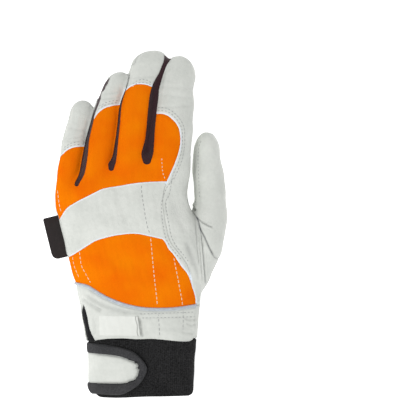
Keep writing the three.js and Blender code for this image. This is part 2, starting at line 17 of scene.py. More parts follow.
import bpy
import numpy as np
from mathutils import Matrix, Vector
from mathutils.bvhtree import BVHTree
from mathutils.kdtree import KDTree

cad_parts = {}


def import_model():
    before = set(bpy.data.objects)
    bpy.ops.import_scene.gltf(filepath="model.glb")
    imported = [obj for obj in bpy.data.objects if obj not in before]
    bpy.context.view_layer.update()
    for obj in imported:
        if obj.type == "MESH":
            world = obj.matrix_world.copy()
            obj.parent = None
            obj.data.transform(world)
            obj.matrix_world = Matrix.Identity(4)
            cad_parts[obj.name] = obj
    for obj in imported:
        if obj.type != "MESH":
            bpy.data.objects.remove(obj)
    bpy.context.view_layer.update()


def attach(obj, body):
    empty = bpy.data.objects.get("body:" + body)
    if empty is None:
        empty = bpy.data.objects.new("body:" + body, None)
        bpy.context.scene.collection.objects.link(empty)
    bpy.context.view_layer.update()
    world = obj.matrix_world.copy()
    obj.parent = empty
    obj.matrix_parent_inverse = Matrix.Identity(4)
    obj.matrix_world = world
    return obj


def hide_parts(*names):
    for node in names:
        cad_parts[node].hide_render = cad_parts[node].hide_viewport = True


log = logging.getLogger("glove")

MM = 0.001
WRIST = np.array([-0.454, -85.22])

PALM_LENGTH = 129.9
PALM_BREADTH = 99.89
HAND_HEIGHT = 48.0
KNUCKLE_RISE = 29.0
FINGER_THICK = 24.5
FINGER_GAP = -0.5
THUMB_THICK = 25.0
CUFF_LENGTH = 43.0
CUFF_BREADTH = 79.5
CUFF_HEIGHT = 37.0
STRAP_LENGTH = 43.3
STRAP_WIDTH = 39.3

SEAM_GAP = 0.06
EDGE_STEPS = (0.25, 0.6, 1.2)
GRID = 0.85
SNAP = 0.07
FAR = 9.0
FINISH_NAME = "finish_"

Points = list[tuple[float, float]]


def table(names: str, rows: list[list[float]]) -> dict[str, np.ndarray]:
    """Columns of a table by name."""
    return dict(zip(names.split(), np.array(rows, float).T))


FINGER_PLANS = {
    "index": table("along lean breadth", [
        [-0.300, -0.030, 0.860], [0.000, -0.006, 0.955], [0.130, 0.006, 0.970], [0.330, 0.025, 0.940],
        [0.539, 0.045, 0.925], [0.707, 0.050, 0.845], [0.786, 0.088, 0.790],
    ]),
    "middle": table("along lean breadth", [
        [-0.280, 0.000, 1.020], [0.000, 0.000, 1.000], [0.130, 0.016, 0.950], [0.330, 0.042, 0.950],
        [0.522, 0.064, 0.939], [0.680, 0.100, 0.890], [0.810, 0.144, 0.985], [0.888, 0.177, 1.035],
        [1.000, 0.202, 1.035],
    ]),
    "ring": table("along lean breadth", [
        [-0.300, -0.006, 1.040], [0.000, 0.000, 1.014], [0.125, 0.023, 0.986], [0.330, 0.064, 0.968],
        [0.536, 0.096, 0.900], [0.700, 0.126, 0.850], [0.870, 0.193, 0.835], [1.000, 0.236, 0.800],
    ]),
    "little": table("along lean breadth", [
        [-0.350, 0.050, 1.040], [0.000, 0.000, 0.925], [0.140, 0.027, 0.969], [0.350, 0.062, 1.020],
        [0.560, 0.103, 1.080], [0.721, 0.147, 1.120], [0.815, 0.178, 1.085],
    ]),
}
FINGER_SIDE = table("along rise up down", [
    [-0.420, 0.95, 1.05, 1.30], [-0.200, 0.98, 1.24, 1.32], [0.000, 1.00, 1.22, 1.24],
    [0.130, 0.99, 1.08, 1.12], [0.270, 0.93, 1.00, 1.05], [0.400, 0.83, 1.00, 1.05],
    [0.540, 0.70, 0.98, 1.05], [0.680, 0.56, 0.95, 1.05], [0.800, 0.46, 0.93, 1.10],
    [1.000, 0.38, 0.80, 1.10],
])
THUMB_PLAN = table("along lean breadth rise up down", [
    [-1.108, -0.173, 0.380, 0.70, 0.60, 1.20], [-0.950, -0.141, 0.600, 0.74, 0.95, 1.50],
    [-0.752, -0.111, 0.944, 0.76, 1.20, 1.60], [-0.554, -0.069, 1.108, 0.76, 1.28, 1.60],
    [-0.356, -0.038, 1.164, 0.72, 1.28, 1.55], [-0.185, -0.014, 1.152, 0.66, 1.22, 1.45],
    [0.000, 0.006, 1.050, 0.59, 1.14, 1.32], [0.106, 0.030, 0.915, 0.56, 1.08, 1.22],
    [0.290, 0.006, 0.930, 0.52, 1.02, 1.12], [0.475, -0.012, 0.895, 0.50, 0.98, 1.08],
    [0.640, -0.025, 0.815, 0.49, 0.95, 1.08], [0.737, -0.028, 0.750, 0.48, 0.92, 1.08],
])
PALM_PLAN = table("along left right top bottom seam", [
    [0.000, -0.344, 0.463, 0.80, 0.00, 0.40], [0.060, -0.365, 0.466, 0.82, 0.00, 0.40],
    [0.134, -0.387, 0.473, 0.84, 0.00, 0.40], [0.220, -0.403, 0.487, 0.87, 0.00, 0.41],
    [0.300, -0.424, 0.508, 0.90, 0.00, 0.42], [0.379, -0.461, 0.534, 0.93, 0.02, 0.44],
    [0.465, -0.485, 0.540, 0.95, 0.06, 0.46], [0.562, -0.516, 0.508, 0.97, 0.10, 0.49],
    [0.664, -0.551, 0.465, 0.99, 0.14, 0.52], [0.761, -0.573, 0.400, 1.00, 0.18, 0.55],
    [0.835, -0.577, 0.388, 0.99, 0.21, 0.58], [0.880, -0.506, 0.393, 0.97, 0.24, 0.60],
    [0.925, -0.417, 0.398, 0.94, 0.26, 0.60], [0.970, -0.290, 0.400, 0.92, 0.28, 0.60],
    [1.010, -0.171, 0.402, 0.89, 0.31, 0.60], [1.036, -0.015, 0.392, 0.85, 0.35, 0.60],
    [1.058, 0.119, 0.372, 0.80, 0.39, 0.60],
])

STRIPS = {
    "fourchette_index_middle": table("along left right", [
        [1.017, 0.067, 0.130], [1.052, 0.059, 0.143], [1.131, 0.086, 0.150], [1.179, 0.094, 0.153],
        [1.274, 0.104, 0.165], [1.369, 0.116, 0.180], [1.416, 0.128, 0.184], [1.463, 0.149, 0.199],
        [1.511, 0.184, 0.218], [1.559, 0.209, 0.242], [1.590, 0.222, 0.268], [1.625, 0.224, 0.300],
    ]),
    "fourchette_middle_ring": table("along left right", [
        [0.972, -0.185, -0.144], [0.995, -0.187, -0.135], [1.036, -0.158, -0.127], [1.131, -0.137, -0.116],
        [1.226, -0.122, -0.104], [1.308, -0.111, -0.097], [1.371, -0.090, -0.082], [1.445, -0.054, -0.048],
        [1.507, -0.036, -0.030],
    ]),
    "fourchette_ring_little": table("along left right", [
        [0.881, -0.436, -0.403], [0.894, -0.431, -0.394], [0.942, -0.404, -0.363], [1.036, -0.381, -0.342],
        [1.131, -0.357, -0.332], [1.226, -0.325, -0.306], [1.267, -0.312, -0.294], [1.301, -0.300, -0.279],
        [1.335, -0.284, -0.262], [1.369, -0.272, -0.247], [1.387, -0.265, -0.246], [1.404, -0.258, -0.239],
        [1.421, -0.248, -0.218], [1.438, -0.238, -0.209], [1.455, -0.228, -0.196], [1.485, -0.218, -0.180],
    ]),
}


@dataclass(frozen=True)
class Finger:
    """One finger or the thumb: its sizes and the place of its fork.

    Args:
        x: Middle of its root, from the palm's middle.
        length: From the fork to the tip.
        breadth: At the fork.
        fork: The fork's place, as a share of the palm's length.
        knuckle: Height of the knuckle, as a share of the common rise.
        dome: Length of the rounded end, as a share of the length.
        plan: Table of its plan.
    """

    x: float
    length: float
    breadth: float
    fork: float
    knuckle: float
    dome: float
    plan: dict[str, np.ndarray]

    def y(self, along: np.ndarray | float) -> np.ndarray:
        """Distance from the wrist at a share of the length."""
        return self.fork * PALM_LENGTH + np.asarray(along) * self.length

    def point(self, across: float, along: float) -> tuple[float, float]:
        """Plan point at shares of the breadth and length."""
        lean = np.interp(along, self.plan["along"], self.plan["lean"])
        return (float(self.x + lean * self.length + across * self.breadth), float(self.y(along)))

    def side(self, sign: int, y: np.ndarray) -> np.ndarray:
        """X of one edge of the finger at distances from the wrist."""
        along = np.minimum((y - self.fork * PALM_LENGTH) / self.length, 1 - self.dome / 2)
        lean = np.interp(along, self.plan["along"], self.plan["lean"])
        breadth = np.interp(along, self.plan["along"], self.plan["breadth"])
        return self.x + lean * self.length + sign * breadth * self.breadth / 2


FINGERS = {
    "index": Finger(25.76, 79.6, 31.8, 1.000, 1.00, 0.214, FINGER_PLANS["index"]),
    "middle": Finger(-3.17, 85.1, 25.4, 0.988, 1.04, 0.112, FINGER_PLANS["middle"]),
    "ring": Finger(-28.75, 77.3, 21.9, 0.926, 0.98, 0.130, FINGER_PLANS["ring"]),
    "little": Finger(-49.89, 63.6, 16.7, 0.869, 0.86, 0.185, FINGER_PLANS["little"]),
}
THUMB = Finger(0.555 * PALM_BREADTH, 56.1, 23.9, 0.743, 1.0, 0.263, THUMB_PLAN)


def palm_points(shares: Points) -> np.ndarray:
    """Plan points from shares of the palm's breadth and length."""
    return np.array(shares, float) * [PALM_BREADTH, PALM_LENGTH]


def curve(points: np.ndarray, step: float = 1.6) -> np.ndarray:
    """Smooth line through points, with samples about a step apart."""
    points = np.asarray(points, float)
    if len(points) < 3:
        return points
    padded = np.vstack([2 * points[0] - points[1], points, 2 * points[-1] - points[-2]])
    found = []
    for a, b, c, d in zip(padded, padded[1:], padded[2:], padded[3:]):
        count = max(1, int(np.linalg.norm(c - b) / step))
        t = np.arange(count)[:, None] / count
        found.append(0.5 * (2 * b + (c - a) * t + (2 * a - 5 * b + 4 * c - d) * t**2
                            + (3 * b - a - 3 * c + d) * t**3))
    return np.vstack([*found, points[-1:]])


def distances(points: np.ndarray, line: np.ndarray, closed: bool = False) -> tuple[np.ndarray, np.ndarray]:
    """Distances from plan points to a line.

    Args:
        points: Plan points, one a row.
        line: Corners of the line.
        closed: Whether it is an outline, so that distances inside are negative.

    Returns:
        The distances, and how far along the line the nearest place is, from 0 to 1.
    """
    starts = line if closed else line[:-1]
    ends = np.roll(line, -1, 0) if closed else line[1:]
    best = np.full(len(points), np.inf)
    place = np.zeros(len(points))
    inside = np.zeros(len(points), bool)
    px, py = points[:, 0], points[:, 1]
    for i, (a, b) in enumerate(zip(starts, ends)):
        rx, ry = b - a
        t = np.clip(((px - a[0]) * rx + (py - a[1]) * ry) / max(rx * rx + ry * ry, 1e-9), 0, 1)
        gap = (px - a[0] - t * rx) ** 2 + (py - a[1] - t * ry) ** 2
        nearer = gap < best
        best[nearer] = gap[nearer]
        place[nearer] = i + t[nearer]
        if closed and ry != 0:
            inside ^= ((a[1] > py) != (b[1] > py)) & (px < a[0] + (py - a[1]) * rx / ry)
    apart = np.sqrt(best)
    return np.where(inside, -apart, apart), place / max(len(starts), 1)


def fade(value: np.ndarray, start: float, end: float) -> np.ndarray:
    """Smooth step from 0 at start to 1 at end, whichever is larger."""
    t = np.clip((value - start) / (end - start), 0, 1)
    return t * t * (3 - 2 * t)


def near(apart: np.ndarray, reach: float) -> np.ndarray:
    """Weight of 1 on a line that falls off over a reach."""
    return np.exp(-((apart / reach) ** 2))


def rolled(apart: np.ndarray, radius: float | np.ndarray) -> np.ndarray:
    """Drop of a quarter round at a distance from its edge."""
    return radius * (1 - np.sqrt(1 - np.clip(1 - apart / radius, 0, 1) ** 2))


def blended(a: np.ndarray, b: np.ndarray, reach: float) -> np.ndarray:
    """Smaller of two fields, with the crease between them rounded over a reach."""
    share = np.clip(0.5 + 0.5 * (b - a) / reach, 0, 1)
    return b + (a - b) * share - reach * share * (1 - share)


class Surface:
    """Triangles with named values at their corners."""

    def __init__(self, fields: dict[str, np.ndarray], tris: np.ndarray) -> None:
        """Takes the corners' fields, with place "p" and direction "n", and the triangles."""
        self.fields = fields
        self.tris = tris

    @property
    def plan(self) -> np.ndarray:
        """Plan points of the corners."""
        return self.fields["p"][:, :2]

    def split(self, values: np.ndarray, level: float) -> tuple["Surface", np.ndarray]:
        """Adds corners where the values cross a level, and gives the values less that level."""
        rise = values - level
        rise = np.where(np.abs(rise) < SNAP, 0.0, rise)
        ends = np.stack([self.tris, np.roll(self.tris, -1, 1)], 2).reshape(-1, 2)
        crossed = rise[ends[:, 0]] * rise[ends[:, 1]] < 0
        pairs, which = np.unique(np.sort(ends[crossed], 1), axis=0, return_inverse=True)
        low, high = pairs.T
        share = rise[low] / (rise[low] - rise[high])
        fields = {}
        for name, old in self.fields.items():
            t = share.reshape(-1, *[1] * (old.ndim - 1))
            fields[name] = np.concatenate([old, old[low] * (1 - t) + old[high] * t])
        middle = np.full(len(ends), -1)
        middle[crossed] = len(rise) + which.ravel()
        middle = middle.reshape(-1, 3)
        count = (middle >= 0).sum(1)
        tris = [self.tris[count == 0]]
        for k in range(3):
            rows = (count == 1) & (middle[:, k] >= 0)
            a, b, c = (self.tris[rows, (k + j) % 3] for j in range(3))
            m = middle[rows, k]
            tris += [np.stack([a, m, c], 1), np.stack([m, b, c], 1)]
            rows = (count == 2) & (middle[:, k] < 0)
            a, b, c = (self.tris[rows, (k + j) % 3] for j in range(3))
            m, n = middle[rows, (k + 1) % 3], middle[rows, (k + 2) % 3]
            tris += [np.stack([c, n, m], 1), np.stack([a, b, m], 1), np.stack([a, m, n], 1)]
        return Surface(fields, np.vstack(tris)), np.concatenate([rise, np.zeros(len(pairs))])

    def kept(self, rows: np.ndarray) -> "Surface":
        """Only some triangles, with the corners that they use."""
        used, tris = np.unique(self.tris[rows], return_inverse=True)
        return Surface({k: v[used] for k, v in self.fields.items()}, tris.reshape(-1, 3))

    def parted(self, values: np.ndarray, gap: float = SEAM_GAP) -> tuple["Surface", "Surface"]:
        """Cuts along the line where the values are 0.

        Returns:
            The part below 0 and the part above, each with rows of corners along its edge.
        """
        parts = []
        for sign in (-1, 1):
            self.fields["cut"] = sign * values
            whole, rise = self.split(self.fields["cut"], gap / 2)
            part = whole.kept(rise[whole.tris].sum(1) > 0)
            for step in EDGE_STEPS:
                part, _ = part.split(part.fields["cut"], gap / 2 + step)
            del part.fields["cut"]
            parts.append(part)
        del self.fields["cut"]
        return parts[0], parts[1]

    def claimed(self, outline: np.ndarray) -> tuple["Surface", "Surface"]:
        """Cuts out what lies inside an outline seen from above, and gives it and the rest."""
        return self.parted(distances(self.plan, outline, True)[0])

    def area(self) -> float:
        """Area in square metres."""
        a, b, c = (self.fields["p"][self.tris[:, k]] * MM for k in range(3))
        return float(np.linalg.norm(np.cross(b - a, c - a), axis=1).sum() / 2)

    def edges(self) -> np.ndarray:
        """Places along the surface's own edge."""
        ends = np.sort(np.stack([self.tris, np.roll(self.tris, -1, 1)], 2).reshape(-1, 2), 1)
        pairs, count = np.unique(ends, axis=0, return_counts=True)
        low, high = pairs[count == 1].T
        places = self.fields["p"]
        return np.vstack([places[low], (places[low] + places[high]) / 2])


class Edges:
    """The edges of some surfaces, for distances from them."""

    def __init__(self, surfaces: list[Surface]) -> None:
        """Puts the places along the edges into a search tree."""
        found = np.vstack([surface.edges() for surface in surfaces])
        self.tree = KDTree(len(found))
        for i, place in enumerate(found):
            self.tree.insert(place, i)
        self.tree.balance()

    def distance(self, places: np.ndarray) -> np.ndarray:
        """Distance from each place to the nearest edge, up to the farthest that counts."""
        return np.array([min(self.tree.find(place)[2], FAR) for place in places])


class HandField:
    """Field of distances to the gloved hand, on a grid, and the surface at its zero."""

    low = np.array([-66.0, -7.5, -3.0])
    high = np.array([76.0, 219.0, 52.5])
    palm_power = 2.5
    finger_power = 2.2
    palm_end = 5.0
    behind = -12.0
    root = 8.0
    softness = 2.6
    floor_reach = 2.5
    between_fingers = 4.0
    finger_to_palm = 4.5
    thumb_to_palm = 3.2

    def __init__(self) -> None:
        """Lays out the grid and blends palm, fingers and thumb."""
        self.axes = [np.arange(a, b, GRID) for a, b in zip(self.low, self.high)]
        palm = self.limb(self.palm_rows(), self.palm_power, True)
        fingers = np.full_like(palm, FAR)
        for finger in FINGERS.values():
            grown = self.limb(self.finger_rows(finger), self.finger_power)
            fingers = blended(fingers, grown, self.between_fingers)
        whole = blended(palm, fingers, self.finger_to_palm)
        thumb = self.limb(self.finger_rows(THUMB), self.finger_power)
        self.grid = blended(whole, thumb, self.thumb_to_palm)

    def palm_rows(self) -> dict[str, np.ndarray]:
        """Sections of the palm, from behind the wrist seam to the forks."""
        t = PALM_PLAN
        left, right = t["left"] * PALM_BREADTH, t["right"] * PALM_BREADTH
        seam, floor = t["seam"] * HAND_HEIGHT, t["bottom"] * HAND_HEIGHT
        rows = {
            "y": t["along"] * PALM_LENGTH, "x": (left + right) / 2, "half": (right - left) / 2, "z": seam,
            "up": t["top"] * HAND_HEIGHT - seam, "down": (seam - floor) * 1.25 + 0.01, "floor": floor,
        }
        rows["y"][0] = self.behind
        rows["dome"] = np.full(len(seam), self.palm_end)
        return rows

    @staticmethod
    def finger_rows(finger: Finger) -> dict[str, np.ndarray]:
        """Sections of a finger or the thumb, from its root in the palm to its tip."""
        own = finger is THUMB
        side = finger.plan if own else FINGER_SIDE
        along = np.unique(np.concatenate([finger.plan["along"], side["along"], [1.0]]))
        along = along[along >= finger.plan["along"][0]]
        thick = THUMB_THICK if own else FINGER_THICK
        rise = THUMB_THICK if own else finger.knuckle * KNUCKLE_RISE

        def at(rows: dict[str, np.ndarray], name: str) -> np.ndarray:
            return np.interp(along, rows["along"], rows[name])

        return {
            "y": finger.y(along), "x": finger.x + at(finger.plan, "lean") * finger.length,
            "half": (at(finger.plan, "breadth") * finger.breadth - (0 if own else FINGER_GAP)) / 2,
            "z": at(side, "rise") * rise, "up": at(side, "up") * thick / 2,
            "down": at(side, "down") * thick / 2, "floor": 0 * along,
            "dome": np.full(len(along), finger.dome * finger.length),
        }

    def limb(self, rows: dict[str, np.ndarray], power: float, palm: bool = False) -> np.ndarray:
        """Field of one limb with rounded ends.

        Args:
            rows: Its sections along Y.
            power: How square the sections are; 2 is an ellipse.
            palm: Whether it runs on behind the wrist.

        Returns:
            Distances on the grid, rough away from the limb and never beyond the farthest that counts.
        """
        y = self.axes[1]
        step, reach = 0.5, 16
        fine = np.arange(rows["y"][0], rows["y"][-1] + step / 2, step)
        weights = np.exp(-0.5 * (np.arange(-reach, reach + 1) * step / self.softness) ** 2)
        weights /= weights.sum()
        at = {}
        for name, column in rows.items():
            if name == "y":
                continue
            dense = np.pad(np.interp(fine, rows["y"], column), reach, mode="reflect", reflect_type="odd")
            at[name] = np.interp(y, fine, np.convolve(dense, weights, "valid"))[None, :, None]
        z = self.axes[2][None, None, :]
        across = np.abs(self.axes[0][:, None, None] - at["x"]) / at["half"]
        tall = np.where(z > at["z"], at["up"], at["down"])
        rise = np.abs(z - at["z"]) / tall
        past = np.maximum(0, (y[None, :, None] - rows["y"][-1] + at["dome"]) / at["dome"])
        if not palm:
            past = past + np.maximum(0, (rows["y"][0] + self.root - y[None, :, None]) / self.root)
        size = np.sqrt((across**power + rise**power) ** (2 / power) + past**2)
        found = (size - 1) * np.minimum(at["half"], tall)
        slopes = np.gradient(found, GRID)
        found = found / np.clip(np.sqrt(sum(s * s for s in slopes)), 0.25, None)
        return np.clip(-blended(-found, z - at["floor"], self.floor_reach), -FAR, FAR)

    def sampled(self, grid: np.ndarray, places: np.ndarray) -> np.ndarray:
        """Values of a grid at places between its points."""
        at = (places - self.low) / GRID
        base = np.clip(np.floor(at).astype(int), 0, np.array(grid.shape) - 2)
        part = at - base
        total = np.zeros(len(places))
        for corner in product((0, 1), repeat=3):
            weight = np.prod(np.where(corner, part, 1 - part), axis=1)
            total += weight * grid[tuple((base + corner).T)]
        return total

    def surface(self) -> Surface:
        """Fine surface where the field is 0, with its directions."""
        grid = self.grid
        inside = grid < 0
        shape = np.array(grid.shape) - 1
        corners = list(product((0, 1), repeat=3))
        windows = [inside[tuple(slice(c, size + c) for c, size in zip(corner, shape))] for corner in corners]
        count = sum(window.astype(np.int8) for window in windows)
        cells = np.argwhere((count > 0) & (count < len(corners)))
        number = np.full(shape, -1)
        number[tuple(cells.T)] = np.arange(len(cells))
        total, hits = np.zeros((len(cells), 3)), np.zeros(len(cells))
        for a, b in product(corners, repeat=2):
            if sum(b) - sum(a) != 1 or any(y < x for x, y in zip(a, b)):
                continue
            low, high = grid[tuple((cells + a).T)], grid[tuple((cells + b).T)]
            rows = (low < 0) != (high < 0)
            share = low[rows] / (low[rows] - high[rows])
            total[rows] += np.array(a) + share[:, None] * (np.array(b) - np.array(a))
            hits[rows] += 1
        places = self.low + GRID * (cells + total / hits[:, None])
        quads = []
        for axis in range(3):
            u, v = (axis + 1) % 3, (axis + 2) % 3
            step = np.eye(3, dtype=int)
            first = [slice(1, -1)] * 3
            after = [slice(1, -1)] * 3
            first[axis], after[axis] = slice(0, -1), slice(1, None)
            one, two = inside[tuple(first)], inside[tuple(after)]
            for sign, rows in ((1, one & ~two), (-1, ~one & two)):
                base = np.argwhere(rows) + 1 - step[axis]
                ring = [base - step[u] - step[v], base - step[v], base, base - step[u]]
                ring = [number[tuple(cell.T)] for cell in ring][::sign]
                quads.append(np.stack(ring, 1))
        quads = np.vstack(quads)
        slopes = np.gradient(grid, GRID)
        for _ in range(3):
            n = np.stack([self.sampled(s, places) for s in slopes], 1)
            steep = np.clip((n * n).sum(1), 0.2, None)
            places = places - np.clip(self.sampled(grid, places) / steep, -0.5, 0.5)[:, None] * n
        n /= np.linalg.norm(n, axis=1, keepdims=True)
        a, b, c, d = (places[quads[:, k]] for k in range(4))
        short = ((a - c) ** 2).sum(1) < ((b - d) ** 2).sum(1)
        q, r = quads[short], quads[~short]
        tris = np.vstack([q[:, [0, 1, 2]], q[:, [0, 2, 3]], r[:, [0, 1, 3]], r[:, [1, 2, 3]]])
        return Surface({"p": places, "n": n}, tris)


class Socket:
    """A shader socket that takes part in arithmetic."""

    def __init__(self, shader: "Shader", socket: bpy.types.NodeSocket) -> None:
        """Keeps the socket with the shader that it belongs to."""
        self.shader = shader
        self.socket = socket

    def maths(self, operation: str, *others: object) -> "Socket":
        """A Math node on this socket and others."""
        return self.shader.node("Math", {"operation": operation}, dict(enumerate((self, *others))))

    def __add__(self, other: object) -> "Socket":
        """Sum."""
        return self.maths("ADD", other)

    def __mul__(self, other: object) -> "Socket":
        """Product."""
        return self.maths("MULTIPLY", other)

    __radd__ = __add__
    __rmul__ = __mul__

    def __sub__(self, other: object) -> "Socket":
        """Difference."""
        return self.maths("SUBTRACT", other)

    def __rsub__(self, other: float) -> "Socket":
        """Difference from a number."""
        return (self * -1.0) + other

    def __pow__(self, other: float) -> "Socket":
        """Power."""
        return self.maths("POWER", other)

    def clamped(self) -> "Socket":
        """The value kept between 0 and 1."""
        return self.maths("MINIMUM", 1.0).maths("MAXIMUM", 0.0)

    def wave(self, pitch: float) -> "Socket":
        """Sine of a length in metres, with a pitch in millimetres."""
        return (self * (2 * math.pi / (pitch * MM))).maths("SINE")


Colour = tuple[float, float, float]


class Shader:
    """A material's nodes, written as expressions."""

    def __init__(self, name: str, roughness: float, **constants: float) -> None:
        """Makes a material with a Principled shader and its constant sockets."""
        self.material = bpy.data.materials.new(FINISH_NAME + name)
        self.material.use_nodes = True
        self.tree = self.material.node_tree
        self.surface = self.tree.nodes["Principled BSDF"]
        self.surface.inputs["Roughness"].default_value = roughness
        for socket, value in constants.items():
            self.surface.inputs[socket.replace("_", " ")].default_value = value
        self.place = self.node("TexCoord", {}, {}, "Object")

    def node(self, kind: str, settings: dict, values: dict, output: str | int = 0) -> Socket:
        """Adds a node.

        Args:
            kind: Its type after "ShaderNode".
            settings: Properties, set first.
            values: Values or sockets by input name or number.
            output: Which output is given back.

        Returns:
            That output.
        """
        made = self.tree.nodes.new("ShaderNode" + kind)
        for key, value in settings.items():
            setattr(made, key, value)
        for key, value in values.items():
            if isinstance(value, Socket):
                self.tree.links.new(value.socket, made.inputs[key])
            elif isinstance(value, tuple) and len(value) == 3 and made.inputs[key].type == "RGBA":
                made.inputs[key].default_value = (*value, 1.0)
            else:
                made.inputs[key].default_value = value
        return Socket(self, made.outputs[output])

    def noise(self, size: float, detail: float = 3.0, place: Socket | None = None) -> Socket:
        """Noise with features of a size in millimetres."""
        values = {"Vector": place or self.place, "Scale": 1 / (size * MM), "Detail": detail}
        return self.node("TexNoise", {}, values)

    def cells(self, size: float, feature: str = "F1") -> Socket:
        """Cells of a size in millimetres."""
        return self.node("TexVoronoi", {"feature": feature}, {"Vector": self.place, "Scale": 1 / (size * MM)})

    def value(self, name: str) -> Socket:
        """A value kept at the mesh's corners."""
        return self.node("Attribute", {"attribute_name": name}, {}, "Fac")

    def axis(self, name: str) -> Socket:
        """One Object coordinate."""
        return self.node("SeparateXYZ", {}, {0: self.place}, name)

    def mix(self, share: object, a: object, b: object) -> Socket:
        """Colour between two colours."""
        return self.node("Mix", {"data_type": "RGBA"}, {0: share, 6: a, 7: b}, 2)

    def tinted(self, name: str, strength: float, colour: Socket, tint: Colour) -> Socket:
        """A colour turned to a tint by a value kept at the mesh's corners."""
        return self.mix((self.value(name) * strength).clamped(), colour, tint)

    def bump(self, height: Socket, depth: float, under: Socket | None = None) -> Socket:
        """Relief of a depth in millimetres, over another relief."""
        values = {"Height": height, "Distance": depth * MM, "Strength": 1.0}
        if under:
            values["Normal"] = under
        return self.node("Bump", {}, values, "Normal")

    def finish(self, colour: Socket, normal: Socket, roughness: Socket | None = None) -> bpy.types.Material:
        """Joins colour, relief and roughness to the shader."""
        self.tree.links.new(colour.socket, self.surface.inputs["Base Color"])
        self.tree.links.new(normal.socket, self.surface.inputs["Normal"])
        if roughness:
            self.tree.links.new(roughness.socket, self.surface.inputs["Roughness"])
        return self.material


@dataclass(frozen=True)
class Leather:
    """Soft white grain leather: fine pebbles, faint mottling, painted shade in the folds and seams, pale cut
    edges with a painted highlight.
    """

    slot: str = "leather_white"
    pale: Colour = (0.668, 0.684, 0.644)
    grey: Colour = (0.585, 0.604, 0.567)
    # Painted shade colour, laid on by the crease value in folds, creases, seams and steep sides.
    fold: Colour = (0.130, 0.135, 0.140)
    # Pale cut edge of the leather beside the cloth, made bluish white as a painted highlight where it faces
    # up.
    rim: Colour = (0.780, 0.880, 0.980)
    grain: float = 0.9

    def made(self) -> bpy.types.Material:
        """The material."""
        s = Shader(self.slot, 0.6, Specular_IOR_Level=0.3)
        mottle = s.noise(16.0, 4.0) * 0.65 + s.noise(2.2, 3.0) * 0.35
        share = ((mottle - 0.36) * 3.2).clamped()
        colour = s.mix(share, self.grey, self.pale)
        # Painted shade from the crease value.
        colour = s.tinted("crease", 0.9, colour, self.fold)
        # Pale cut edge with a painted highlight.
        colour = s.tinted("rim", 1.1, colour, self.rim)
        pebble = s.cells(self.grain)
        normal = s.bump(s.noise(5.5, 3.0), 0.55)
        normal = s.bump(pebble + s.noise(0.5, 2.0) * 0.4, 0.10, normal)
        return s.finish(colour, normal, share * -0.08 + 0.64)


@dataclass(frozen=True)
class StretchCloth:
    """Orange stretch cloth: fine square weave, brighter and deeper orange in soft random patches."""

    slot: str = "cloth_orange"
    bright: Colour = (0.880, 0.222, 0.002)
    deep: Colour = (0.812, 0.136, 0.002)
    # Painted shade colour for the cloth's folds and seam edges.
    fold: Colour = (0.30, 0.035, 0.001)
    pitch: float = 1.1

    def made(self) -> bpy.types.Material:
        """The material."""
        s = Shader(self.slot, 0.85, Specular_IOR_Level=0.0)
        weave = s.axis("X").wave(self.pitch) * s.axis("Y").wave(self.pitch)
        fuzz = s.noise(0.6, 3.0)
        tone = s.noise(22.0, 2.0) * 0.62 + fuzz * 0.22 + weave * 0.05 + 0.10
        share = ((tone - 0.36) * 2.9).clamped()
        colour = s.mix(share, self.deep, self.bright)
        # Painted shade from the crease value.
        colour = s.tinted("crease", 0.85, colour, self.fold)
        normal = s.bump(weave * 0.5 + fuzz, 0.14)
        return s.finish(colour, normal)


@dataclass(frozen=True)
class RibbedElastic:
    """Dark stretch strip with fine ribs along the fingers."""

    slot: str = "elastic_dark"
    dark: Colour = (0.020, 0.008, 0.011)
    light: Colour = (0.062, 0.024, 0.031)
    pitch: float = 1.0

    def made(self) -> bpy.types.Material:
        """The material."""
        s = Shader(self.slot, 0.7, Sheen_Weight=0.1, Specular_IOR_Level=0.2)
        ribs = (s.axis("X") * 1.0 + s.axis("Z") * 0.7).wave(self.pitch)
        fuzz = s.noise(0.7, 3.0)
        share = (fuzz * 0.9 + ribs * 0.12 - 0.05 + s.noise(6.0) * 0.25 - 0.1).clamped()
        colour = s.mix(share, self.dark, self.light)
        return s.finish(colour, s.bump(ribs * 0.5 + fuzz, 0.16))


@dataclass(frozen=True)
class DenseKnit:
    """Dense knit: small stitches in columns with lint, as on the cuff, its elastic and binding."""

    slot: str = "knit_black"
    dark: Colour = (0.005, 0.005, 0.005)
    light: Colour = (0.048, 0.048, 0.049)
    pitch: float = 1.5
    relief: float = 0.22

    def made(self) -> bpy.types.Material:
        """The material."""
        s = Shader(self.slot, 0.95, Sheen_Weight=0.03, Specular_IOR_Level=0.05)
        columns = s.axis("X").wave(self.pitch) * 0.5 + s.axis("Y").wave(self.pitch * 0.8) * 0.3
        lint = s.noise(0.9, 4.0)
        share = (lint * 1.6 + columns * 0.15 + s.noise(14.0) * 0.3 - 0.65).clamped()
        colour = s.mix(share, self.dark, self.light)
        return s.finish(colour, s.bump(columns * 0.4 + lint, self.relief))


@dataclass(frozen=True)
class Satin:
    """Smooth woven trim: fine threads across it and soft gloss."""

    slot: str = "piping_grey"
    dark: Colour = (0.30, 0.33, 0.38)
    light: Colour = (0.58, 0.62, 0.68)
    roughness: float = 0.30
    pitch: float = 0.5
    relief: float = 0.04

    def made(self) -> bpy.types.Material:
        """The material."""
        s = Shader(self.slot, self.roughness, Specular_IOR_Level=0.35)
        threads = (s.axis("X") + s.axis("Y") * 0.6).wave(self.pitch)
        share = (s.noise(3.0, 3.0) + threads * 0.08).clamped()
        colour = s.mix(share, self.dark, self.light)
        # Painted shade from the crease value; only the wrist label sets it, along its tucked fold.
        colour = s.tinted("crease", 1.0, colour, tuple(v * 0.2 for v in self.dark))
        return s.finish(colour, s.bump(threads * 0.5 + s.noise(0.5), self.relief))


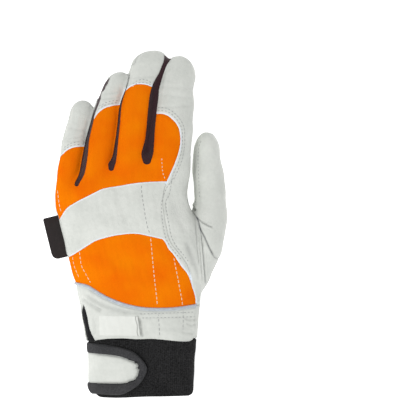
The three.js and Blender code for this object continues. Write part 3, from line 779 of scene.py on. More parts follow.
@dataclass(frozen=True)
class Thread:
    """Sewing thread: twisted strands."""

    slot: str = "thread_cream"
    dark: Colour = (0.72, 0.50, 0.28)
    light: Colour = (0.95, 0.86, 0.70)

    def made(self) -> bpy.types.Material:
        """The material."""
        s = Shader(self.slot, 0.7, Sheen_Weight=0.1)
        twist = (s.axis("X") + s.axis("Y")).wave(0.45)
        share = (s.noise(0.8, 2.0) + twist * 0.2).clamped()
        return s.finish(s.mix(share, self.dark, self.light), s.bump(twist, 0.05))


@dataclass(frozen=True)
class Backdrop:
    """Plain pale floor."""

    slot: str = "floor_pale"
    pale: Colour = (0.80, 0.80, 0.80)
    glow: float = 0.75

    def made(self) -> bpy.types.Material:
        """The material."""
        s = Shader(self.slot, 0.9, Specular_IOR_Level=0.1, Emission_Strength=self.glow)
        colour = s.mix(s.noise(40.0), self.pale, tuple(v * 0.995 for v in self.pale))
        return s.finish(colour, s.bump(s.noise(2.0), 0.01))


class Finish(Enum):
    """Every finish on the glove."""

    LEATHER = Leather()
    CLOTH = StretchCloth()
    STRIP = RibbedElastic()
    ELASTIC = DenseKnit("elastic_black", (0.006, 0.006, 0.007), (0.026, 0.026, 0.028), 1.2, 0.16)
    KNIT = DenseKnit()
    BINDING = DenseKnit("binding_grey", (0.032, 0.032, 0.034), (0.080, 0.080, 0.083), 1.1, 0.10)
    PIPING = Satin()
    TAG = Satin("tag_black", (0.010, 0.007, 0.007), (0.022, 0.016, 0.016), 0.8, 0.8, 0.08)
    LABEL = Satin("label_white", (0.690, 0.705, 0.665), (0.750, 0.765, 0.725), 0.75, 0.7, 0.05)
    CREAM = Thread()
    # Thread for the leather, darkened as painted shade for the stitch holes that it sits in.
    GREY = Thread("thread_grey", (0.26, 0.27, 0.27), (0.40, 0.41, 0.40))
    FLOOR = Backdrop()

    @property
    def material(self) -> bpy.types.Material:
        """Its material, made once."""
        return bpy.data.materials.get(FINISH_NAME + self.value.slot) or self.value.made()


def modified(piece: bpy.types.Object, kind: str, **settings: object) -> None:
    """Adds a modifier with its settings and applies it."""
    bpy.ops.object.select_all(action="DESELECT")
    bpy.context.view_layer.objects.active = piece
    piece.select_set(True)
    bpy.ops.object.modifier_add(type=kind)
    added = piece.modifiers[-1]
    for key, value in settings.items():
        setattr(added, key, value)
    bpy.ops.object.modifier_apply(modifier=added.name)
    piece.select_set(False)


def made_piece(name: str, surface: Surface, finish: Finish, nodes: tuple[str, ...] = (),
               wall: float = 0.0, angle: float = 50.0) -> bpy.types.Object:
    """Makes a piece of the glove from a surface.

    Args:
        name: Name of the piece.
        surface: Its outer face, in millimetres from the wrist seam.
        finish: What it is made of.
        nodes: The nodes that it stands for.
        wall: Thickness added inwards, in millimetres.
        angle: Angle in degrees over which edges stay sharp.

    Returns:
        The piece.
    """
    mesh = bpy.data.meshes.new(name)
    places = surface.fields["p"].copy()
    places[:, :2] += WRIST
    mesh.from_pydata((places * MM).tolist(), [], surface.tris.tolist())
    # The crease value carries painted shade; the other carries the pale cut edge with its painted highlight.
    for key in ("crease", "rim"):
        values = surface.fields.get(key, np.zeros(len(places)))
        mesh.attributes.new(key, "FLOAT", "POINT").data.foreach_set("value", values.astype(np.float32))
    mesh.materials.append(finish.material)
    mesh.update()
    piece = bpy.data.objects.new(name, mesh)
    bpy.context.collection.objects.link(piece)
    if wall:
        modified(piece, "SOLIDIFY", thickness=wall * MM, offset=-1.0)
    bpy.context.view_layer.objects.active = piece
    piece.select_set(True)
    bpy.ops.object.shade_smooth_by_angle(angle=math.radians(angle))
    piece.select_set(False)
    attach(piece, "root")
    if nodes:
        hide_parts(*nodes)
    log.info("%s: %d faces", name, len(piece.data.polygons))
    return piece


def declared_sheet(piece: bpy.types.Object, surface: Surface, cut: tuple[float, float]) -> None:
    """Logs a sheet's cut size and area.

    Args:
        piece: The sheet.
        surface: Its outer face, for the flat area.
        cut: Width and length of the rectangle that it was cut from, in millimetres.
    """
    area = surface.area()
    log.info("%s: cut from %.1f by %.1f mm, area %.1f cm2", piece.name, *cut, area * 1e4)
    cut[0] * MM
    cut[1] * MM


@dataclass(frozen=True)
class Fold:
    """A groove or ridge along a line on the glove.

    Args:
        line: Its points, as shares of the palm.
        width: Half width in millimetres.
        depth: Depth in millimetres, or minus a ridge's height.
        shade: Painted shade in the groove, from 0 to 1.
        under: Whether it is on the palm side.
    """

    line: Points
    width: float
    depth: float
    shade: float = 0.0
    under: bool = False


WEB_SEAM = [(0.452, 0.704), (0.474, 0.676), (0.489, 0.630), (0.522, 0.579), (0.560, 0.513), (0.593, 0.467)]
SIDE_ROWS = (
    [(0.170, 1.314), (0.237, 1.311), (0.296, 1.285), (0.348, 1.240), (0.374, 1.183), (0.374, 1.091),
     (0.348, 1.000), (0.304, 0.921), (0.244, 0.858), (0.212, 0.792), (0.206, 0.744), (0.214, 0.664),
     (0.228, 0.607), (0.243, 0.565), (0.266, 0.533), (0.315, 0.482), (0.356, 0.448)],
    [(0.170, 1.297), (0.233, 1.295), (0.287, 1.271), (0.336, 1.225), (0.358, 1.177), (0.358, 1.091),
     (0.333, 1.006), (0.289, 0.926), (0.265, 0.824), (0.239, 0.784), (0.244, 0.727), (0.264, 0.641),
     (0.280, 0.584), (0.311, 0.533), (0.364, 0.482), (0.402, 0.443)],
)
# Grooves and ridges, each with the painted shade of its groove.
FOLDS = [
    Fold(WEB_SEAM, 0.6, 1.2, 0.75),
    Fold([(0.400, 0.800), (0.412, 0.770), (0.435, 0.743), (0.458, 0.722)], 1.2, 2.0, 0.45),
    Fold([(0.452, 0.704), (0.477, 0.681), (0.530, 0.653), (0.590, 0.632)], 0.6, 1.1, 0.50),
    Fold([(0.482, 0.664), (0.500, 0.584), (0.513, 0.493), (0.521, 0.391), (0.523, 0.294)], 0.6, 0.9, 0.50),
    Fold([(0.456, 0.659), (0.470, 0.533), (0.480, 0.408)], 0.6, 0.5, 0.20),
    Fold([(0.474, 0.659), (0.487, 0.533), (0.498, 0.408), (0.504, 0.305)], 0.5, 0.5, 0.18),
    Fold([(0.502, 1.143), (0.466, 1.093), (0.456, 1.040), (0.454, 0.979), (0.457, 0.903), (0.464, 0.835),
          (0.470, 0.784)], 0.5, 0.5, 0.20),
    Fold([(0.385, 0.560), (0.412, 0.490), (0.440, 0.410)], 1.8, 0.7, 0.17),
    Fold([(0.034, 0.128), (0.050, 0.100), (0.056, 0.056), (0.068, 0.010)], 0.8, 0.9, 0.45),
    Fold([(-0.370, 0.262), (-0.240, 0.200), (-0.080, 0.160), (0.100, 0.148)], 1.3, 0.8, 0.20),
    Fold([(-0.380, 0.235), (-0.300, 0.190), (-0.230, 0.160)], 1.2, 0.8, 0.18),
    *[Fold(row, 0.45, 0.30, 0.10) for row in SIDE_ROWS],
    Fold([(-0.400, 0.299), (-0.342, 0.288), (-0.290, 0.265), (-0.216, 0.231), (-0.141, 0.205),
          (-0.067, 0.185), (0.007, 0.171), (0.082, 0.162), (0.186, 0.159), (0.305, 0.162),
          (0.440, 0.176)], 0.5, 0.5, 0.35),
    Fold([(-0.120, 0.880), (-0.100, 0.800), (-0.060, 0.700)], 3.5, 0.35, 0.02),
    Fold([(0.300, 0.780), (0.330, 0.690), (0.390, 0.600)], 2.6, 0.5, 0.06),
    Fold([(0.400, 0.540), (0.450, 0.440), (0.480, 0.330)], 1.4, 0.5, 0.10),
    Fold([(0.170, 0.070), (0.280, 0.060), (0.430, 0.070)], 1.6, 0.35, 0.04),
    Fold([(0.370, 0.118), (0.420, 0.108), (0.462, 0.112)], 0.7, 0.6, 0.15),
    Fold([(0.385, 0.090), (0.425, 0.078), (0.460, 0.084)], 0.7, 0.6, 0.12),
    Fold([(0.350, 0.040), (0.410, 0.030), (0.455, 0.036)], 0.8, 0.6, 0.10),
    Fold([(0.430, 0.330), (0.446, 0.240), (0.452, 0.140), (0.448, 0.050)], 0.8, 0.5, 0.10),
    Fold([(-0.300, 0.120), (-0.285, 0.070), (-0.290, 0.020)], 0.9, 0.5, 0.08),
    Fold([(-0.300, 0.180), (-0.180, 0.155), (-0.020, 0.145)], 1.4, 0.4, 0.05),
    Fold([(0.041, 0.144), (0.457, 0.153)], 0.5, 0.3, 0.16),
    Fold([(0.056, 0.121), (0.450, 0.126)], 0.5, 0.3, 0.12),
]


@dataclass(frozen=True)
class Crease:
    """A short fold across a finger.

    Args:
        finger: Name of the finger.
        along: Its place, as a share of the finger's length.
        slant: How much further along it is at the thumb side.
        width: Half width in millimetres.
        depth: Depth in millimetres.
        under: Whether it is on the palm side.
    """

    finger: str
    along: float
    slant: float
    width: float
    depth: float
    under: bool = False


CREASES = [
    Crease("index", 0.52, 0.02, 1.3, 0.45), Crease("index", 0.62, -0.05, 1.1, 0.30),
    Crease("index", 0.70, -0.03, 1.6, 0.40), Crease("middle", 0.765, 0.02, 1.0, 0.40),
    Crease("ring", 0.69, 0.04, 0.9, 0.45), Crease("ring", 0.745, 0.03, 1.0, 0.50),
    Crease("ring", 0.80, 0.05, 1.2, 0.45), Crease("little", 0.52, 0.02, 1.0, 0.50),
    Crease("little", 0.56, 0.03, 1.0, 0.45), Crease("little", 0.66, -0.04, 1.2, 0.35),
    *[Crease(name, along, 0.0, 1.2, depth, True)
      for name in FINGERS for along, depth in ((0.06, 1.0), (0.36, 0.9), (0.66, 0.6))],
]


class Relief:
    """Folds, creases and slack over the whole glove, and the shade that they hold."""

    seed = 7
    facing = (-0.15, 0.25)
    margin = 6.0
    run_out = 0.12
    lip_place = 1.9
    lip_share = 0.3
    crease_shade = 0.12
    crease_bow = 0.03
    finger_half = 0.52

    def __init__(self) -> None:
        """Draws the slack's waves."""
        rng = np.random.default_rng(self.seed)
        self.waves = [
            (rng.normal(size=3) * 2 * math.pi / length, rng.uniform(0, 2 * math.pi), height)
            for length, height in ((34, 0.22), (26, 0.20), (20, 0.16), (15, 0.12), (11, 0.08), (8.5, 0.05))
        ]

    def slack(self, places: np.ndarray) -> np.ndarray:
        """Soft waves of loose leather or cloth."""
        return sum(h * np.sin(places @ k + phase) for k, phase, h in self.waves)

    def of(self, surface: Surface) -> tuple[np.ndarray, np.ndarray]:
        """Height and shade at each corner of a surface."""
        p, n = surface.fields["p"], surface.fields["n"]
        top, bottom = fade(n[:, 2], *self.facing), fade(-n[:, 2], *self.facing)
        height, shade = self.slack(p), np.zeros(len(p))
        for fold in FOLDS:
            line = curve(palm_points(fold.line), 2.0)
            rows = ((p[:, :2] > line.min(0) - self.margin) & (p[:, :2] < line.max(0) + self.margin)).all(1)
            if not rows.any():
                continue
            apart, place = distances(p[rows, :2], line)
            ends = fade(place, 0, self.run_out) * fade(1 - place, 0, self.run_out)
            weight = near(apart, fold.width) * ends * (bottom if fold.under else top)[rows]
            ridge = near(apart - self.lip_place * fold.width, fold.width) * ends * self.lip_share
            height[rows] += fold.depth * (ridge - weight)
            # Painted shade in the fold's groove.
            shade[rows] += fold.shade * weight
        for crease in CREASES:
            finger = FINGERS[crease.finger]
            along = (p[:, 1] - finger.fork * PALM_LENGTH) / finger.length
            middle = finger.x + np.interp(along, finger.plan["along"], finger.plan["lean"]) * finger.length
            across = (p[:, 0] - middle) / finger.breadth
            bow = crease.slant * across + self.crease_bow * across**2
            weight = near((along - crease.along - bow) * finger.length, crease.width)
            weight = weight * (np.abs(across) < self.finger_half) * (bottom if crease.under else top)
            weight = weight * fade(self.finger_half + 0.1 - np.abs(across), 0, 0.3)
            height -= crease.depth * weight
            # Painted shade in the crease.
            shade += self.crease_shade * crease.depth * weight
        return height, shade


@dataclass(frozen=True)
class Lay:
    """How a sewn piece lies at its seams.

    Args:
        finish: What it is made of.
        lift: How far it stands over the hand's surface, in millimetres.
        roll: Radius of its turned edge.
        wall: Its thickness.
    """

    finish: Finish
    lift: float
    roll: float
    wall: float


@dataclass
class SewnHand:
    """The leather and cloth of the hand, sewn from the pieces between the seams."""

    leather = Lay(Finish.LEATHER, 0.55, 0.4, 1.5)
    cloth = Lay(Finish.CLOTH, 0.0, 0.12, 1.2)
    strip = Lay(Finish.STRIP, -0.35, 0.5, 1.2)
    gusset = Lay(Finish.ELASTIC, -0.4, 0.5, 1.2)
    cloth_reach = 3.0
    pucker, pucker_beside, pucker_reach = 0.30, 0.15, 2.2
    sunk, sunk_reach = 0.15, 1.6
    # Strengths and reaches of the painted shade at steep sides and along seams.
    side_shade, side_reach = 0.20, 1.2
    seam_reach = 0.35
    leather_shade, cloth_shade = 0.08, 0.10
    rim_reach = 0.7
    piping_half = 0.55
    cuts = {"knuckle_panel": (122.0, 118.0), "back_panel": (104.0, 60.0)}
    pieces: dict[str, Surface] = field(default_factory=dict)
    finishes: dict[str, Finish] = field(default_factory=dict)

    arcs = {
        "index": [(0.15, -0.019), (0.235, 0.121), (0.235, 0.232), (0.155, 0.335), (-0.01, 0.409),
                  (-0.19, 0.451), (-0.37, 0.456), (-0.52, 0.456)],
        "middle": [(0.50, 0.645), (0.42, 0.663), (0.33, 0.678), (0.13, 0.698), (-0.09, 0.704), (-0.28, 0.690),
                   (-0.42, 0.655), (-0.47, 0.622)],
        "ring": [(0.42, 0.682), (0.36, 0.680), (0.14, 0.670), (-0.09, 0.648), (-0.30, 0.596), (-0.45, 0.505)],
        "little": [(0.52, 0.460), (0.38, 0.458), (0.10, 0.452), (-0.10, 0.437), (-0.28, 0.408),
                   (-0.45, 0.360), (-0.56, 0.325)],
    }
    knuckle_edge = [
        (-0.610, 0.619), (-0.550, 0.681), (-0.498, 0.738), (-0.446, 0.767), (-0.387, 0.792), (-0.290, 0.829),
        (-0.216, 0.855), (-0.104, 0.869), (0.007, 0.884), (0.119, 0.892), (0.245, 0.895),
    ]
    thumb_seam = [
        (0.4285, 1.120), (0.4285, 0.960), (0.425, 0.812), (0.414, 0.755), (0.439, 0.716), (0.476, 0.676),
        (0.491, 0.630), (0.524, 0.579), (0.562, 0.513), (0.593, 0.467), (0.660, 0.436),
    ]
    side_seam = [
        (0.245, 0.895), (0.222, 0.835), (0.216, 0.778), (0.223, 0.716), (0.242, 0.641), (0.256, 0.584),
        (0.289, 0.533), (0.341, 0.482), (0.376, 0.448), (0.402, 0.411), (0.416, 0.370), (0.428, 0.308),
        (0.442, 0.274), (0.455, 0.240), (0.460, 0.190),
    ]
    piping_line = [
        (-0.560, 0.330), (-0.409, 0.311), (-0.342, 0.300), (-0.290, 0.277), (-0.216, 0.243), (-0.141, 0.217),
        (-0.067, 0.197), (0.007, 0.183), (0.082, 0.174), (0.186, 0.171), (0.305, 0.174), (0.460, 0.190),
    ]
    cloth_side = [
        (0.460, 0.190), (0.455, 0.240), (0.442, 0.274), (0.428, 0.308), (0.414, 0.342), (0.392, 0.377),
        (0.355, 0.411), (0.325, 0.445), (0.296, 0.479), (0.258, 0.513), (0.236, 0.547), (0.216, 0.567),
    ]
    cloth_top = [
        (0.216, 0.567), (0.119, 0.584), (0.045, 0.596), (-0.030, 0.598), (-0.141, 0.587), (-0.216, 0.573),
        (-0.290, 0.553), (-0.402, 0.499), (-0.483, 0.465), (-0.610, 0.436),
    ]
    patch_seam = [(-0.010, 0.194), (0.020, 0.379), (0.065, 0.594), (0.080, 0.748), (0.092, 0.887)]
    ball_seam = [(0.800, 0.590), (0.663, 0.520), (0.523, 0.425), (0.395, 0.320), (0.254, 0.212),
                 (0.141, 0.167), (-0.010, 0.194)]
    crescent_seam = [(0.073, 0.690), (0.065, 0.594), (0.020, 0.379), (-0.010, 0.194)]
    crescent_edge = [
        (-0.010, 0.194), (-0.080, 0.235), (-0.127, 0.295), (-0.148, 0.392), (-0.125, 0.500), (-0.093, 0.579),
        (-0.038, 0.643), (0.073, 0.690),
    ]
    wedge_left = [(-0.372, 0.194), (-0.391, 0.146), (-0.387, 0.100), (-0.368, 0.049), (-0.338, -0.030)]
    wedge_right = [(-0.269, -0.030), (-0.307, 0.020), (-0.330, 0.066), (-0.345, 0.129), (-0.364, 0.180)]
    wrist_edge = [
        (-0.60, -0.008), (-0.322, -0.010), (-0.261, -0.005), (-0.185, 0.002), (-0.064, 0.004), (0.027, 0.000),
        (0.132, 0.002), (0.244, -0.005), (0.344, -0.013), (0.419, -0.012), (0.470, 0.010), (0.70, 0.012),
    ]

    @staticmethod
    def outline(*runs: np.ndarray) -> np.ndarray:
        """Closed outline from runs of points."""
        points = np.vstack(runs)
        return points[np.linalg.norm(points - np.roll(points, 1, 0), axis=1) > 0.05]

    def smooth(self, shares: Points) -> np.ndarray:
        """Smooth line through shares of the palm."""
        return curve(palm_points(shares))

    def finger_edge(self, name: str, side: int) -> np.ndarray:
        """Edge of a finger from its fork to its tip."""
        finger = FINGERS[name]
        start = finger.y(1 - finger.dome)
        shaft = np.arange(finger.fork * PALM_LENGTH, start, 2.0)
        turn = np.linspace(0, math.pi / 2, 9)
        round_y = start + np.sin(turn) * finger.dome * finger.length
        lean = np.interp(1.0, finger.plan["along"], finger.plan["lean"]) * finger.length
        half = finger.side(1, start) - finger.side(-1, start)
        round_x = finger.x + lean + side * half / 2 * np.cos(turn)
        return np.vstack([
            np.stack([finger.side(side, shaft), shaft], 1), np.stack([round_x, round_y], 1)])

    def finger_outline(self, name: str) -> np.ndarray:
        """Outline of one finger, halfway into the gaps beside it."""
        tip = self.finger_edge(name, 1)[-1] + [0, 2.0]
        return self.outline(self.finger_edge(name, 1), tip[None], self.finger_edge(name, -1)[::-1])

    def strip_outline(self, rows: dict[str, np.ndarray]) -> np.ndarray:
        """Outline of the strip between two fingers, with a rounded end at the fork."""
        left = self.smooth(list(zip(rows["left"], rows["along"])))
        right = self.smooth(list(zip(rows["right"], rows["along"])))
        wide = (right[0, 0] - left[0, 0]) / 2
        turn = np.linspace(math.pi, 2 * math.pi, 11)[1:-1]
        end = (left[0] + right[0]) / 2 + wide * np.stack([np.cos(turn), 1.1 * np.sin(turn)], 1)
        return self.outline(left[::-1], end, right)

    def side_height(self, surface: Surface) -> np.ndarray:
        """Height above the side seams."""
        x, y, z = surface.fields["p"].T
        along = y / PALM_LENGTH
        seam = np.interp(along, PALM_PLAN["along"], PALM_PLAN["seam"]) * HAND_HEIGHT
        for finger in FINGERS.values():
            share = (y - finger.fork * PALM_LENGTH) / finger.length
            rise = np.interp(share, FINGER_SIDE["along"], FINGER_SIDE["rise"]) * finger.knuckle * KNUCKLE_RISE
            own = (x > finger.side(-1, y) - 0.4) & (x < finger.side(1, y) + 0.4)
            weight = fade(y - finger.fork * PALM_LENGTH, -8, 4) * own
            seam = seam * (1 - weight) + rise * weight
        return z - seam

    def thumb_height(self, surface: Surface) -> np.ndarray:
        """Height above the thumb's seam, which runs high on the finger side."""
        x, y, z = surface.fields["p"].T
        share = (y - THUMB.fork * PALM_LENGTH) / THUMB.length
        rise = np.interp(share, THUMB_PLAN["along"], THUMB_PLAN["rise"]) * THUMB_THICK
        middle = THUMB.x + np.interp(share, THUMB_PLAN["along"], THUMB_PLAN["lean"]) * THUMB.length
        return z - rise + 0.42 * (x - middle)

    def cut(self, whole: Surface) -> None:
        """Cuts the hand's surface into its sewn pieces."""
        plan = whole.plan
        line = self.smooth(self.wrist_edge)
        end = np.interp(plan[:, 0], line[:, 0], line[:, 1])
        _, whole = whole.parted(plan[:, 1] - end, 0.0)
        far = np.array([[PALM_BREADTH, 0.436 * PALM_LENGTH], [PALM_BREADTH, 1.5 * PALM_LENGTH]])
        gap = palm_points([(0.455, 1.5), (0.455, 1.22)])
        thumb, hand = whole.claimed(self.outline(self.smooth(self.thumb_seam), far, gap))
        for name, rows in STRIPS.items():
            self.pieces[name], hand = hand.claimed(self.strip_outline(rows))
        front, back = hand.parted(self.side_height(hand))
        self.pieces["palm_crescent"], front = front.claimed(
            self.outline(self.smooth(self.crescent_seam), self.smooth(self.crescent_edge)))
        edge = self.finger_edge("index", -1)
        tip = edge[-1]
        self.pieces["grip_patch"], self.pieces["palm_leather"] = front.claimed(self.outline(
            self.smooth(self.patch_seam), edge, np.array([[tip[0], tip[1] + 2.0]]),
            palm_points([(1, 2), (1, 0.6)]), self.smooth(self.ball_seam)))
        self.pieces["thumb_front"], self.pieces["thumb_back"] = thumb.parted(self.thumb_height(thumb))
        arcs = [curve([FINGERS[name].point(*at) for at in points], 1.2) for name, points in self.arcs.items()]
        beside = np.array([FINGERS["little"].point(-0.9, 0.36)])
        self.pieces["knuckle_panel"], back = back.claimed(self.outline(
            self.smooth(self.knuckle_edge), *arcs, beside, palm_points([(-0.80, 0.9), (-0.80, 0.619)])))
        start = FINGERS["index"].point(0, 0.3)
        edge = edge[edge[:, 1] > start[1]]
        self.pieces["index_back"], back = back.claimed(self.outline(
            self.smooth(self.side_seam), palm_points([(0.9, 0.19), (0.9, 1)]),
            np.array([[palm_points([(0.9, 1)])[0, 0], tip[1] + 2.0], [tip[0], tip[1] + 2.0]]),
            edge[::-1], np.array([start]), palm_points([(0.26, 0.95)])))
        for name in ("middle", "ring", "little"):
            self.pieces[f"{name}_back"], back = back.claimed(self.finger_outline(name))
        piping = self.smooth(self.piping_line)
        shift = np.array([0, self.piping_half])
        _, back = back.claimed(self.outline(piping - shift, (piping + shift)[::-1]))
        self.pieces["back_panel"], back = back.claimed(self.outline(
            self.smooth(self.cloth_side), self.smooth(self.cloth_top),
            palm_points([(-0.8, 0.436), (-0.8, 0.340)]), piping))
        self.pieces["back_band"], back = back.claimed(palm_points(
            [(-0.8, 0.38), (0.2, 0.38), (0.3, 0.25), (0.7, 0.25), (0.7, 0.92), (-0.8, 0.92)]))
        self.pieces["wrist_gusset"], back = back.claimed(
            self.outline(self.smooth(self.wedge_left), self.smooth(self.wedge_right)))
        self.pieces["wrist_panel"] = back

    def lay(self, name: str) -> Lay:
        """How a piece lies at its seams."""
        if name.startswith("fourchette"):
            return self.strip
        if name in self.cuts:
            return self.cloth
        return self.gusset if name == "wrist_gusset" else self.leather

    def shape(self, relief: Relief) -> None:
        """Gives each piece its seams' rolled edges, its folds and its place proud or sunk."""
        bright = Edges([self.pieces[name] for name in self.cuts])
        for name, surface in self.pieces.items():
            p, n = surface.fields["p"], surface.fields["n"]
            apart = Edges([surface]).distance(p)
            height, shade = relief.of(surface)
            lay = self.lay(name)
            self.finishes[name] = lay.finish
            height = height * fade(apart, 0, 2.5) + lay.lift - rolled(apart, lay.roll)
            if lay is self.leather:
                beside = fade(self.cloth_reach - bright.distance(p), 0, 2)
                height -= (self.pucker + self.pucker_beside * beside) * near(apart, self.pucker_reach)
                # Painted shade near the edges where the leather turns away from the top, and along its seams,
                # less beside the cloth.
                sides = self.side_shade * near(apart, self.side_reach) * fade(0.95 - n[:, 2], 0, 0.1)
                seam = self.leather_shade * near(apart, self.seam_reach)
                shade = shade + (sides + seam) * (1 - beside)
                # Pale cut edge beside the cloth, with a painted highlight that is strongest where the edge
                # faces up.
                surface.fields["rim"] = beside * near(apart, self.rim_reach) * fade(n[:, 2], 0.2, 0.6)
            else:
                # Painted shade along the seams of the cloth, strips and gusset.
                shade = shade + self.cloth_shade * near(apart, self.seam_reach)
                if lay is self.cloth:
                    height -= self.sunk * near(apart, self.sunk_reach)
            p = p + n * height[:, None]
            p[:, 2] = np.maximum(p[:, 2], 0)
            surface.fields["p"] = p
            # The painted shade is kept as the crease value.
            surface.fields["crease"] = shade

    def make(self) -> dict[str, bpy.types.Object]:
        """Makes the sewn pieces."""
        made = {}
        for name, surface in self.pieces.items():
            lay = self.lay(name)
            made[name] = made_piece("sewn_" + name, surface, lay.finish, (name,), lay.wall)
        for name, cut in self.cuts.items():
            declared_sheet(made[name], self.pieces[name], cut)
        return made


class Outside:
    """The glove's outer face, for what lies on it."""

    def __init__(self, pieces: dict[str, Surface], finishes: dict[str, Finish]) -> None:
        """Joins the pieces' faces into one search tree."""
        places, faces, self.owner = [], [], []
        start = 0
        for name, surface in pieces.items():
            places.append(surface.fields["p"])
            faces.append(surface.tris + start)
            self.owner += [finishes[name]] * len(surface.tris)
            start += len(surface.fields["p"])
        self.tree = BVHTree.FromPolygons(np.vstack(places).tolist(), np.vstack(faces).tolist())

    def top(self, x: float, y: float) -> tuple[Vector, Vector, Finish] | None:
        """Place, direction and finish of the upper face at a plan point."""
        place, normal, index, _ = self.tree.ray_cast(Vector((x, y, 90)), Vector((0, 0, -1)))
        return None if place is None else (place, normal, self.owner[index])


def tube(line: np.ndarray, radius: float, sides: int = 12) -> Surface:
    """Round tube along points, closed at both ends."""
    ahead = np.gradient(line, axis=0)
    ahead /= np.linalg.norm(ahead, axis=1, keepdims=True)
    across = np.cross(ahead, [0, 0, 1])
    across /= np.linalg.norm(across, axis=1, keepdims=True)
    over = np.cross(across, ahead)
    turn = np.linspace(0, 2 * math.pi, sides, endpoint=False)
    ring = across[:, None] * np.cos(turn)[:, None] + over[:, None] * np.sin(turn)[:, None]
    places = (line[:, None] + radius * ring).reshape(-1, 3)
    a = np.arange((len(line) - 1) * sides)
    b = a // sides * sides + (a + 1) % sides
    tris = [np.stack([a, b, b + sides], 1), np.stack([a, b + sides, a + sides], 1)]
    ends = len(places)
    k = np.arange(sides)
    tris.append(np.stack([np.full(sides, ends), (k + 1) % sides, k], 1))
    tris.append(np.stack([np.full(sides, ends + 1), ends - sides + k, ends - sides + (k + 1) % sides], 1))
    places = np.vstack([places, line[:1], line[-1:]])
    return Surface({"p": places, "n": places * 0}, np.vstack(tris))


@dataclass
class Piping:
    """Satin piping between the lower cloth and the wrist."""

    radius: float = 1.1
    proud: float = 0.45

    def make(self, outside: Outside, line: np.ndarray) -> bpy.types.Object:
        """Lays the piping along its seam."""
        found = [outside.top(x + 1e-3, y) for x, y in curve(line, 0.8)]
        above = [outside.top(x, y + 1.6) for x, y in curve(line, 0.8)]
        places = []
        for (x, y), here, beside in zip(curve(line, 0.8), found, above):
            hits = [hit[0].z for hit in (here, beside) if hit]
            if hits and max(hits) > 0.40 * HAND_HEIGHT:
                places.append((x, y, max(hits) + self.proud - 0.4))
        line = np.array(places)
        kernel = np.ones(5) / 5
        line[2:-2, 2] = np.convolve(line[:, 2], kernel, "valid")
        return made_piece("piping_cord", tube(line, self.radius), Finish.PIPING, ("piping",), 0, 60)


class CuffForm:
    """The knitted cuff's outer form, unrolled along its height and round it."""

    corner_left = 9.5
    corner_right = 3.0
    roundness = 2.5
    lower_half = 0.62
    tucked = 2.4
    tuck_length = 43
    top_gap = 0.3
    lean = 0.009
    wave, wave_pitch = 0.5, 9.0
    drop, drop_from, drop_to = 1.2, 15, 42

    def __init__(self, around: int = 300, down: int = 74) -> None:
        """Lays out a fine net over the cuff."""
        turn = (np.arange(around) + 0.5) * 2 * math.pi / around
        share = np.linspace(-0.07, 1, down)
        t, s = np.meshgrid(turn, share)
        rows = table("down breadth height", [
            [0, 1.015, 1.03], [0.12, 1.006, 1.00], [0.5, 0.985, 0.99], [1, 0.979, 0.97],
        ])
        middle = (PALM_PLAN["left"][0] + PALM_PLAN["right"][0]) / 2 * PALM_BREADTH
        half = np.interp(s, rows["down"], rows["breadth"]) * CUFF_BREADTH / 2
        up = (np.interp(s, rows["down"], rows["height"]) - 0.5) * CUFF_HEIGHT
        cx = middle - s * self.lean * CUFF_BREADTH
        power = 2 / self.roundness
        across = np.sign(np.cos(t)) * np.abs(np.cos(t)) ** power
        rise = np.sign(np.sin(t)) * np.abs(np.sin(t)) ** power
        hidden = self.tucked * fade(-s, -0.012, 0.02)
        x = cx + (half - hidden) * across
        z = CUFF_HEIGHT / 2 + (np.where(rise > 0, up, self.lower_half * CUFF_HEIGHT) - hidden) * rise
        z = np.maximum(z, 0)
        corner = np.where(across < 0, self.corner_left, self.corner_right)
        past = np.clip((np.abs(x - cx) - (half - corner)) / corner, 0, 1)
        end = CUFF_LENGTH - corner * (1 - np.sqrt(1 - past**2)) - self.wave * np.sin(x / self.wave_pitch)
        end = end - self.drop * fade(x, self.drop_from, self.drop_to)
        y = -self.top_gap - s * (end - self.top_gap)
        y = np.where(s < 0, -s * self.tuck_length, y)
        places = np.stack([x, y, z], 2).reshape(-1, 3)
        a = np.arange((down - 1) * around)
        b = a // around * around + (a + 1) % around
        tris = np.vstack([np.stack([a, b, b + around], 1), np.stack([a, b + around, a + around], 1)])
        flat = Surface({"p": places, "n": places * 0}, tris)
        flat.fields["n"] = self.normals(flat)
        self.surface = flat
        self.left = float(np.min(cx - half))

    @staticmethod
    def normals(surface: Surface) -> np.ndarray:
        """Directions of the corners from the faces round them."""
        p, tris = surface.fields["p"], surface.tris
        faces = np.cross(p[tris[:, 1]] - p[tris[:, 0]], p[tris[:, 2]] - p[tris[:, 0]])
        total = np.zeros_like(p)
        for k in range(3):
            np.add.at(total, tris[:, k], faces)
        return total / np.clip(np.linalg.norm(total, axis=1, keepdims=True), 1e-9, None)

    def unrolled(self, surface: Surface) -> np.ndarray:
        """Plan points, with the lower half of the left side unrolled outwards."""
        x, y, z = surface.fields["p"].T
        low = np.maximum(CUFF_HEIGHT / 2 - z, 0)
        return np.stack([np.where(low > 0, np.minimum(x, self.left + 6) - low, x), y], 1)


